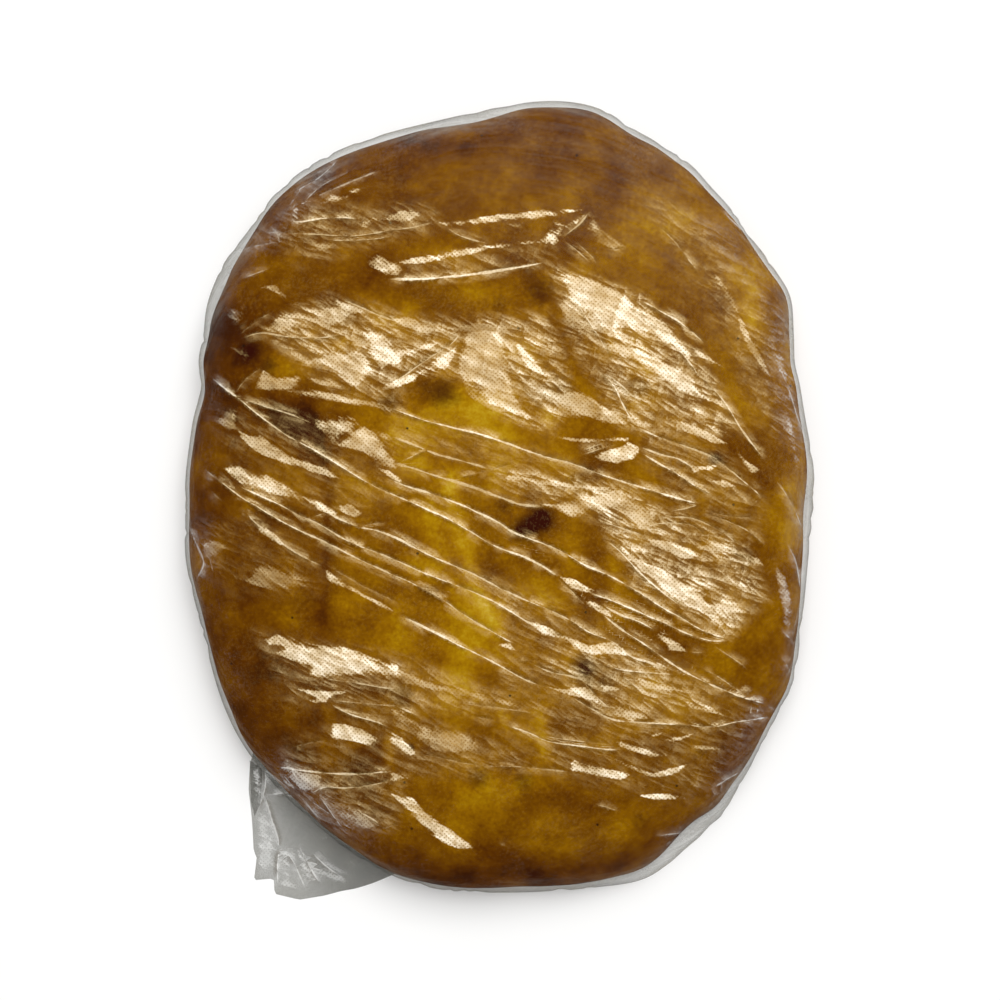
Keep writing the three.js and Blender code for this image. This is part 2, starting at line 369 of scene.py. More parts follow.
def breadBrowning(x, y, share):
    look = breadLook
    value = np.full_like(x, look["baseBrowning"]) + look["rimBrowning"] * ease(look["rimFrom"], 1.0, share)
    pixel = photo["pixelMm"]
    for px, py, across, along, change in look["browning"]:
        (cx, cy), = fromPhoto([(px, py)])
        value += change * np.exp(-(((x - cx) / (across * pixel)) ** 2) - ((y - cy) / (along * pixel)) ** 2)
    for furrow in look["furrows"]:
        off, _, fromEnd = strokeDistance(x, y, smoothLine(fromPhoto(furrow["line"])))
        darkerBy = furrow["darkerBy"] * ease(0, look["darkerTaper"], fromEnd)
        value += darkerBy * np.exp(-((2 * off / furrow["width"]) ** 2))  # half as wide as the furrow
    for line, width, strength in look["paleStreaks"]:
        off, _, fromEnd = strokeDistance(x, y, smoothLine(fromPhoto(line)))
        value -= strength * ease(*look["streakTaper"], fromEnd) * np.exp(-((off / width) ** 2))
    scorch = np.zeros_like(x)
    for px, py, radius, _, char in look["bubbles"]:
        (cx, cy), = fromPhoto([(px, py)])
        off = ((x - cx) ** 2 + (y - cy) ** 2) / (radius * pixel) ** 2
        scorch = np.maximum(scorch, char * np.exp(-(off ** look["scorchEdge"])))
    return value, scorch


# the crust's pattern: sizes in mm, and how far the mottle moves the browning
crustLook = {
    "blotchMm": 20, "blotch": 0.24, "speckleMm": 1.5, "speckle": 0.07,
    "noiseEnds": (0.3, 0.7),  # the part of a noise's range that is used
    "tones": [
        (0.0, "#bb9f3c"), (0.12, "#b08d18"), (0.25, "#a07604"), (0.42, "#885b01"), (0.6, "#6e4301"),
        (0.8, "#552c01"), (1.0, "#381803"),
    ],
    "charMottle": 0.5, "charEnds": (0.1, 0.7), "char": "#300d04",
    "crumbGapMm": 55, "crumbTone": (0.006, 0.011, 0.85, 0.0), "crumb": "#1c1208",
    "grainMm": 1.3, "poreMm": 5, "poreDepth": 2.0, "bump": 0.5, "bumpMm": 0.6,
    "roughness": 0.65, "ior": 1.45, "gleam": 0.02,
}


def breadMaterial():
    # leavened wheat crust, baked on a hot wall: matt gold that browns and chars, with a fine floury grain
    material = bpy.data.materials.new("bakedLavashCrust")
    material.use_nodes = True
    tree = material.node_tree
    tree.nodes.clear()
    add = partial(addNode, tree)
    look = crustLook
    plus, timesPlus = {"operation": "ADD"}, {"operation": "MULTIPLY_ADD"}
    coords = add("ShaderNodeTexCoord").outputs["Object"]
    browning, scorch = [
        add("ShaderNodeAttribute", {"attribute_name": name}).outputs["Fac"] for name in ("browning", "scorch")
    ]
    # blotches a finger wide and flecks of bran
    blotch = add("ShaderNodeTexNoise", Vector=coords, Scale=perMetre(look["blotchMm"]), Detail=6.0, Roughness=0.6)
    speckle = add("ShaderNodeTexNoise", Vector=coords, Scale=perMetre(look["speckleMm"]), Detail=3.0,
                  Roughness=0.6)
    mottle = add("ShaderNodeMath", plus, *[
        add("ShaderNodeMapRange", {}, pattern, *look["noiseEnds"], -reach, reach)
        for pattern, reach in ((blotch, look["blotch"]), (speckle, look["speckle"]))
    ])
    crust = add("ShaderNodeValToRGB", {}, add("ShaderNodeMath", plus, browning, mottle))
    tones, spots = look["tones"], crust.color_ramp.elements
    for spot, (position, tone) in zip(spots, (tones[0], tones[-1])):
        spot.position, spot.color = position, linearColour(tone)
    for position, tone in tones[1:-1]:
        spots.new(position).color = linearColour(tone)
    charEdge = add("ShaderNodeMath", timesPlus, mottle, look["charMottle"], scorch)
    charPart = add("ShaderNodeMapRange", {}, charEdge, *look["charEnds"])
    charred = add("ShaderNodeMix", {"data_type": "RGBA"}, charPart, crust, linearColour(look["char"]))
    # a few specks of burnt crumb
    crumbs = add("ShaderNodeTexVoronoi", {"voronoi_dimensions": "2D"}, Vector=coords,
                 Scale=perMetre(look["crumbGapMm"]))
    crumbPart = add("ShaderNodeMapRange", {}, crumbs, *look["crumbTone"])
    colour = add("ShaderNodeMix", {"data_type": "RGBA"}, crumbPart, charred, linearColour(look["crumb"]))
    grain = add("ShaderNodeTexNoise", Vector=coords, Scale=perMetre(look["grainMm"]), Detail=4.0, Roughness=0.65)
    pores = add("ShaderNodeTexNoise", Vector=coords, Scale=perMetre(look["poreMm"]), Detail=2.0)
    height = add("ShaderNodeMath", timesPlus, pores, look["poreDepth"], grain)
    bump = add("ShaderNodeBump", Height=height, Strength=look["bump"], Distance=look["bumpMm"] * mm)
    surface = add("ShaderNodeBsdfPrincipled", Base_Color=colour, Roughness=look["roughness"], IOR=look["ior"],
                  Specular_IOR_Level=look["gleam"], Normal=bump)
    add("ShaderNodeOutputMaterial", Surface=surface)
    return material


def makeBread():
    look = breadLook
    bm = unitShell(look["columns"], look["rows"], look["gridTurn"], look["innerShare"],
                   shellRings(breadForm, look["domeShares"], look["wallSteps"], look["baseShares"]))
    mesh = meshFrom(bm, "lavash_bread")
    unit = meshCoords(mesh)
    angle = np.arctan2(unit[:, 1], unit[:, 0])
    share = np.hypot(unit[:, 0], unit[:, 1])
    level = unit[:, 2]
    radius = share * outlineRadius(angle, breadForm)
    x, y = radius * np.cos(angle), radius * np.sin(angle)
    onTop = level > topLevel
    dome = domeHeight(x, y, breadForm) + breadRelief(x, y) * (1 - share**rimFade)
    z = np.where(onTop, dome, wallHeight(angle, level, breadForm))
    coarse, overCoarse, fine, overFine = look["swellMm"]
    coarseSeed, fineSeed = look["swellSeeds"]
    swell = coarse * noiseAt(x, y, z, overCoarse, coarseSeed) + fine * noiseAt(x, y, z, overFine, fineSeed)
    topPart, wallPart, underPart = look["swellParts"]
    z = z + swell * np.where(onTop, topPart, np.where(level > baseLevel, wallPart, underPart))
    ragged = look["raggedRim"] * noiseAt(x, y, z, look["raggedMm"], look["raggedSeed"])
    pushed = 1 + ragged * ease(look["raggedFrom"], 1, share)
    value, scorch = breadBrowning(x, y, share)
    placeMesh(mesh, x * pushed, y * pushed, z)
    storeValues(mesh, "browning", np.where(onTop, value, value + look["underBrowning"]))
    storeValues(mesh, "scorch", np.where(onTop, scorch, 0))
    addPiece("lavash_bread", mesh, breadMaterial())
    print("bread:", len(mesh.polygons), "faces")


# the film bag: a fine grid laid roughly along its folds
filmLook = {
    "columns": 160, "rows": 440, "gridTurn": -20, "innerShare": 0.9,
    "domeShares": (0.92, 0.938, 0.954, 0.968, 0.98, 0.99, 1.0), "wallSteps": 7, "baseShares": (0.92, 0.7, 0.4),
    "clearance": 1.9, "clearTo": 0.995,  # mm over the bread, and up to which share of the bread's outline
    "facetRise": 0.16, "facetMost": 4.0,  # slope of a facet's edge, and how far in it goes on rising, mm
    "facetLow": -3.0,  # lowest value outside a facet, in times its softness
    # how many times softer an edge gets than its own softness, over what length, and the noise's ends for it
    "edgeSpread": (0.9, 3.6, 13), "spreadEnds": (-0.2, 0.45), "spreadSeed": 45.0,
    "creaseRise": 0.5, "creaseReach": 1.6,  # height and half width of a crease, mm
    "creaseSeen": (3.9, 2.6), "creaseFar": 4.0,  # how far off a crease its shine and its side are kept, mm
    "creaseTip": 0.35,  # what is left of a crease's width at its end
    "foldTaper": 5, "bluntEnd": 0.3,  # mm over which a crease dies away, and how far on its end still shows
    "creaseGap": (0.4, 1.4), "creaseOwn": (1.1, 0.6),  # mm between two creases, and from one, that keep its sheen
    "waverMm": (0.5, 24, 0.15, 7),  # how far the crests stray, over what length, coarse then fine
    "waverSeeds": [(21.0, 25.0), (31.0, 35.0)],  # coarse and fine, across then along
    "looseMm": 0.7, "looseFrom": 0.9,  # slack at the rim between the pleats, and from which share
    "underFacet": 0.22, "wallFacet": 0.2, "pleatFacet": 0.45,  # painted sheen of the hidden side and of the pleated walls
    "wallShine": 0.32, "wallFade": 0.7,  # strength, and the part of the wall's height over which it fades in
    "lowerHaze": 0.5, "cornerHaze": 0.45,  # milkiness of the wall and underside, and of the loose corner
    # how grey the slack film is, for the layers that lie together and as painted shade for the shadow the film
    # does not cast: round the top's rim from one share to another, down the wall and underneath
    "rimGreyAndShade": 0.7, "rimGreyAndShadeReach": (0.975, 0.998), "wallGreyAndShade": 0.3, "underGreyAndShade": 0.2,
    "rimReach": (0.86, 0.96),  # shares of the outline over which the top's looks give way to the rim's
}

# flat stretches of film that stand free of the crust and shine with a painted highlight:
# corners in pixels, softness of the edge in mm, shine
filmFacets = [
    # far end
    ([(316, 208), (322, 202), (333, 192), (345, 196), (355, 187), (367, 188), (352, 197), (338, 203)], 0.8, 0.6),
    ([(290, 213), (297, 205), (302, 208), (299, 214), (300, 221), (295, 222)], 0.8, 0.55),
    ([(358, 222), (372, 215), (385, 216), (402, 209), (420, 210), (424, 218), (408, 224), (376, 226),
      (362, 232)], 1.5, 0.5),
    ([(290, 240), (325, 240), (346, 242), (330, 252), (315, 261), (305, 257), (298, 250)], 2.5, 0.3),
    ([(359, 250), (372, 258), (380, 251), (390, 262), (398, 262), (400, 270), (387, 279), (372, 269)], 0.8, 0.85),
    ([(436, 222), (470, 219), (505, 213), (540, 209), (590, 208), (560, 215), (540, 221), (520, 219), (500, 223),
      (470, 226), (445, 227)], 0.8, 0.75),
    ([(500, 222), (531, 220), (518, 232), (508, 229)], 1.5, 0.45),
    ([(538, 244), (545, 233), (552, 228), (562, 232), (560, 239), (557, 246)], 0.8, 0.95),
    ([(552, 216), (565, 224), (590, 210), (579, 224), (567, 230), (561, 238), (556, 230)], 0.8, 0.55),
    ([(592, 212), (604, 228), (628, 248), (612, 252), (596, 242), (585, 228)], 2.5, 0.35),
    ([(397, 262), (410, 258), (425, 255), (455, 249), (480, 245), (505, 243), (535, 239), (552, 243), (520, 246),
      (495, 250), (465, 257), (440, 262), (420, 265), (402, 265)], 0.9, 0.9),
    ([(397, 262), (404, 269), (399, 277), (386, 279), (391, 270)], 0.8, 0.8),
    ([(256, 288), (275, 284), (288, 296), (283, 300), (273, 292), (262, 288)], 1.0, 0.4),
    ([(223, 301), (236, 306), (247, 305), (246, 318), (236, 325), (228, 316)], 1.5, 0.35),
    # left shoulder
    ([(262, 330), (278, 315), (293, 302), (310, 305), (322, 302), (340, 300), (352, 312), (348, 322), (330, 330),
      (310, 336), (290, 335), (275, 333)], 2.2, 0.65),
    ([(325, 300), (338, 296), (352, 304), (368, 312), (352, 316), (340, 310)], 1.0, 0.7),
    ([(230, 347), (245, 345), (252, 356), (246, 364), (238, 356)], 1.2, 0.3),
    ([(254, 390), (262, 368), (270, 373), (277, 377), (300, 375), (302, 388), (285, 391), (268, 391)], 1.5, 0.5),
    ([(283, 391), (300, 388), (330, 391), (350, 397), (372, 398), (400, 409), (402, 416), (372, 407), (345, 404),
      (320, 399), (300, 396)], 0.9, 0.6),
    ([(296, 370), (310, 350), (330, 342), (350, 338), (365, 345), (375, 366), (368, 385), (355, 393), (345, 385),
      (330, 373), (312, 369)], 4.0, 0.6),
    ([(340, 350), (352, 342), (364, 348), (374, 368), (362, 388), (352, 390), (342, 372)], 1.8, 0.75),
    ([(352, 330), (372, 322), (385, 328), (398, 342), (402, 360), (380, 372), (372, 360), (360, 345)], 1.5, 0.85),
    ([(300, 376), (330, 380), (345, 386), (340, 389), (318, 385)], 1.2, 0.5),
    # middle of the shoulder
    ([(388, 318), (410, 314), (430, 322), (441, 334), (425, 336), (405, 330), (392, 326)], 1.5, 0.55),
    ([(388, 342), (410, 345), (430, 342), (447, 341), (430, 350), (412, 360), (395, 367), (388, 362)], 1.2, 0.9),
    ([(368, 400), (385, 383), (410, 373), (430, 361), (450, 349), (459, 341), (453, 360), (446, 371), (425, 377),
      (405, 386), (385, 392)], 1.2, 0.9),
    ([(462, 330), (480, 325), (500, 328), (508, 345), (512, 365), (515, 390), (525, 408), (540, 425), (551, 437),
      (530, 426), (510, 414), (490, 405), (470, 399), (462, 385), (455, 370), (456, 350)], 2.2, 0.7),
    ([(470, 392), (484, 378), (500, 376), (512, 388), (524, 408), (551, 437), (528, 424), (505, 411),
      (486, 403)], 1.2, 0.9),
    ([(445, 323), (480, 319), (505, 320), (530, 314), (525, 330), (505, 335), (470, 336), (450, 336)], 2.5, 0.4),
    ([(510, 335), (521, 340), (531, 352), (546, 370), (553, 381), (540, 381), (528, 368), (517, 355)], 1.2, 0.85),
    ([(524, 374), (542, 374), (560, 385), (585, 392), (600, 402), (613, 418), (598, 421), (580, 418), (560, 414),
      (545, 412), (532, 394)], 2.0, 0.55),
    # right shoulder
    ([(548, 263), (575, 274), (600, 279), (625, 290), (645, 302), (665, 318), (680, 335), (694, 355), (688, 364),
      (670, 347), (650, 334), (625, 330), (600, 332), (585, 318), (568, 300), (558, 285)], 1.8, 0.9),
    ([(600, 336), (620, 340), (640, 347), (660, 357), (680, 367), (695, 379), (710, 394), (722, 408), (706, 405),
      (690, 397), (672, 390), (655, 380), (640, 381), (648, 372), (632, 364), (615, 358), (603, 347)], 1.6, 0.9),
    ([(556, 300), (572, 296), (585, 306), (596, 322), (606, 345), (612, 362), (600, 366), (585, 352), (572, 338),
      (560, 318)], 2.5, 0.45),
    ([(672, 317), (690, 329), (707, 345), (699, 341), (684, 332)], 0.8, 0.7),
    ([(684, 342), (700, 350), (720, 364), (726, 372), (705, 361)], 0.8, 0.65),
    ([(733, 298), (742, 316), (752, 338), (765, 360), (776, 382), (762, 372), (748, 352), (738, 330)], 1.6, 0.5),
    ([(742, 300), (754, 315), (768, 343), (779, 366), (765, 351), (750, 330)], 1.5, 0.35),
    ([(711, 268), (722, 278), (732, 292), (742, 312), (735, 315), (725, 300), (715, 284)], 1.5, 0.45),
    ([(742, 272), (752, 282), (765, 303), (773, 314), (760, 307), (748, 290)], 2.0, 0.35),
    ([(755, 405), (768, 418), (783, 436), (772, 433), (760, 421)], 2.0, 0.4),
    ([(757, 300), (770, 322), (785, 360), (795, 400), (788, 400), (772, 360), (760, 325)], 1.5, 0.35),
    ([(780, 395), (795, 430), (803, 470), (796, 475), (786, 440)], 1.5, 0.4),
    ([(772, 560), (785, 575), (793, 610), (786, 640), (778, 600)], 1.5, 0.35),
    ([(620, 366), (628, 372), (640, 395), (645, 405), (636, 401), (626, 384)], 0.9, 0.55),
    ([(640, 405), (655, 409), (680, 417), (700, 427), (716, 436), (732, 446), (712, 444), (695, 437), (675, 427),
      (655, 417), (646, 412)], 0.9, 0.75),
    ([(600, 404), (615, 411), (636, 427), (612, 425), (596, 421)], 1.2, 0.7),
    ([(732, 447), (745, 459), (761, 470), (752, 476), (742, 464)], 0.9, 0.55),
    # right of the middle
    ([(550, 436), (570, 437), (590, 438), (632, 437), (628, 441), (590, 444), (570, 442)], 0.8, 0.8),
    ([(590, 457), (602, 451), (616, 447), (630, 441), (638, 446), (640, 452), (632, 460), (618, 464),
      (600, 462)], 0.8, 0.95),
    ([(686, 463), (700, 465), (722, 463), (712, 471), (700, 470), (694, 475)], 0.8, 0.9),
    ([(709, 480), (725, 478), (741, 487), (725, 488)], 0.9, 0.6),
    ([(500, 477), (515, 472), (535, 477), (560, 481), (580, 485), (612, 486), (612, 492), (590, 491), (560, 488),
      (540, 486), (525, 483), (508, 482)], 0.9, 0.7),
    ([(530, 503), (555, 502), (575, 496), (600, 493), (612, 488), (622, 488), (636, 497), (652, 506), (664, 513),
      (640, 516), (622, 511), (604, 520), (590, 516), (570, 519), (555, 508)], 1.5, 0.7),
    ([(605, 505), (640, 505), (664, 514), (655, 523), (640, 529), (625, 521), (608, 516)], 1.5, 0.6),
    ([(753, 500), (764, 497), (764, 503), (754, 505)], 0.7, 0.9),
    ([(642, 538), (665, 539), (690, 547), (702, 556), (685, 561), (665, 551), (650, 546)], 1.0, 0.9),
    ([(690, 546), (720, 541), (735, 545), (740, 556), (720, 554), (700, 551)], 1.2, 0.65),
    ([(615, 540), (630, 552), (645, 561), (665, 567), (680, 579), (700, 591), (722, 585), (706, 600), (716, 612),
      (727, 624), (720, 626), (705, 616), (690, 609), (678, 601), (660, 589), (640, 571), (622, 554)], 1.0, 0.9),
    ([(682, 561), (700, 571), (720, 587), (740, 600), (746, 612), (738, 621), (722, 619), (706, 606), (716, 598),
      (700, 585)], 1.2, 0.8),
    ([(728, 579), (745, 584), (762, 598), (745, 593)], 1.2, 0.5),
    ([(745, 552), (760, 556), (764, 566), (752, 568), (742, 560)], 1.2, 0.55),
    # left of the middle
    ([(308, 421), (322, 418), (332, 417), (350, 415), (363, 424), (352, 433), (342, 440), (334, 446), (326, 436),
      (316, 428)], 1.2, 0.65),
    ([(334, 447), (350, 432), (363, 423), (373, 430), (386, 445), (397, 456), (402, 471), (390, 469), (372, 461),
      (352, 453)], 1.4, 0.6),
    ([(372, 464), (390, 470), (402, 479), (402, 485), (388, 477)], 0.8, 0.75),
    ([(370, 427), (400, 437), (402, 446), (384, 440)], 1.4, 0.4),
    ([(236, 428), (250, 435), (262, 435), (275, 445), (290, 455), (310, 463), (330, 469), (343, 481), (325, 478),
      (305, 471), (285, 466), (262, 456), (248, 447), (240, 438)], 1.0, 0.7),
    ([(222, 468), (240, 464), (252, 471), (268, 474), (285, 484), (300, 493), (318, 497), (330, 506), (341, 514),
      (333, 518), (320, 511), (303, 503), (285, 498), (268, 498), (252, 493), (240, 486)], 1.4, 0.7),
    ([(335, 504), (350, 503), (363, 513), (355, 519), (342, 514)], 1.2, 0.5),
    ([(252, 518), (262, 523), (275, 532), (286, 542), (297, 550), (282, 547), (268, 538), (257, 532)], 0.8, 0.65),
    ([(324, 567), (335, 574), (346, 582), (366, 593), (386, 603), (402, 615), (385, 609), (365, 598), (345, 588),
      (327, 583)], 0.8, 0.75),
    ([(200, 540), (218, 538), (232, 548), (220, 556), (206, 560)], 2.0, 0.3),
    ([(238, 582), (250, 568), (265, 560), (285, 567), (318, 582), (319, 588), (290, 591), (260, 590)], 4.0, 0.35),
    ([(216, 420), (230, 405), (240, 410), (238, 430), (228, 436)], 2.5, 0.3),
    # near end, left
    ([(262, 637), (280, 633), (300, 639), (320, 644), (345, 646), (362, 651), (380, 657), (402, 664), (402, 681),
      (370, 678), (345, 677), (325, 679), (303, 675), (310, 668), (294, 662), (273, 652), (285, 647),
      (268, 645)], 1.4, 0.9),
    ([(390, 664), (410, 671), (435, 682), (460, 686), (485, 691), (505, 697), (525, 704), (540, 710), (510, 709),
      (480, 702), (455, 696), (425, 691), (400, 685)], 2.2, 0.45),
    ([(281, 686), (300, 687), (325, 690), (352, 690), (345, 694), (332, 697), (325, 704), (302, 702), (316, 698),
      (305, 693)], 0.9, 0.9),
    ([(330, 721), (345, 723), (360, 727), (375, 732), (383, 743), (387, 749), (365, 745), (345, 741), (324, 740),
      (331, 733)], 0.9, 0.9),
    ([(388, 726), (400, 732), (408, 742), (418, 753), (410, 756), (398, 748), (388, 742)], 1.0, 0.85),
    ([(388, 707), (405, 708), (425, 718), (450, 727), (475, 737), (500, 747), (522, 756), (500, 757), (470, 755),
      (440, 754), (420, 749), (405, 735), (392, 725)], 2.0, 0.34),
    ([(277, 765), (290, 763), (305, 771), (325, 774), (322, 786), (310, 793), (300, 789), (290, 779)], 1.2, 0.6),
    ([(322, 801), (340, 799), (360, 807), (378, 817), (385, 827), (365, 830), (345, 829), (335, 821)], 2.0, 0.42),
    ([(390, 769), (400, 771), (412, 779), (400, 781), (390, 783)], 0.8, 0.8),
    ([(386, 789), (400, 796), (413, 797), (426, 811), (441, 822), (456, 831), (466, 839), (481, 849), (468, 849),
      (455, 847), (440, 841), (425, 829), (412, 816), (401, 806)], 0.8, 0.95),
    # near end, right
    ([(556, 575), (575, 579), (590, 587), (612, 597), (595, 595), (582, 593), (570, 589)], 0.8, 0.85),
    ([(583, 602), (592, 599), (612, 611), (612, 619), (595, 611)], 0.9, 0.75),
    ([(522, 618), (545, 624), (556, 629), (573, 637), (590, 644), (612, 640), (622, 645), (633, 657), (612, 656),
      (590, 656), (575, 651), (560, 641), (540, 633)], 1.1, 0.85),
    ([(497, 645), (510, 639), (513, 645), (518, 652), (505, 649)], 0.7, 0.95),
    ([(544, 686), (565, 688), (585, 686), (593, 690), (599, 700), (604, 709), (590, 701), (575, 698),
      (560, 693)], 0.8, 0.85),
    ([(653, 632), (665, 633), (681, 645), (689, 653), (668, 651)], 0.9, 0.75),
    ([(640, 660), (660, 663), (678, 675), (655, 669)], 0.8, 0.7),
    ([(621, 674), (640, 677), (660, 681), (682, 686), (671, 696), (655, 696), (638, 691)], 0.9, 0.65),
    ([(598, 684), (615, 686), (630, 687), (644, 694), (625, 692), (603, 693)], 0.8, 0.75),
    ([(668, 697), (690, 697), (710, 705), (726, 713), (737, 721), (715, 717), (695, 713)], 1.2, 0.6),
    ([(605, 699), (625, 701), (645, 709), (652, 719), (630, 723), (610, 717)], 1.5, 0.65),
    ([(680, 721), (700, 722), (733, 720), (716, 728), (695, 726)], 0.8, 0.75),
    ([(608, 736), (622, 739), (640, 746), (660, 752), (675, 756), (655, 758), (635, 754), (620, 748)], 0.8, 0.85),
    ([(644, 736), (655, 732), (668, 731), (655, 738)], 0.7, 0.75),
    ([(656, 739), (675, 736), (697, 732), (686, 739), (672, 743)], 0.7, 0.75),
    ([(683, 744), (705, 744), (725, 748), (737, 752), (715, 752), (695, 750)], 1.2, 0.45),
    ([(610, 756), (625, 761), (640, 768), (653, 772), (670, 767), (690, 762), (679, 772), (665, 777), (648, 777),
      (632, 771), (620, 764)], 0.8, 0.8),
    ([(570, 756), (580, 761), (600, 767), (620, 770), (632, 774), (622, 780), (605, 778), (585, 774),
      (569, 772)], 0.7, 1.0),
    ([(634, 795), (650, 793), (670, 792), (694, 797), (670, 800), (650, 799)], 0.7, 0.95),
    ([(735, 690), (745, 682), (756, 687), (748, 696)], 1.6, 0.35),
    # loose corner
    ([(276, 850), (286, 853), (297, 893), (277, 893)], 1.5, 0.5),
    ([(293, 846), (301, 856), (319, 888), (302, 880)], 1.5, 0.45),
    ([(254, 815), (266, 812), (275, 845), (274, 876), (256, 878)], 2.0, 0.45),
    ([(251, 770), (258, 768), (262, 795), (256, 812), (252, 800)], 1.0, 0.5),
    ([(310, 868), (330, 868), (352, 884), (330, 888)], 2.5, 0.3),
]

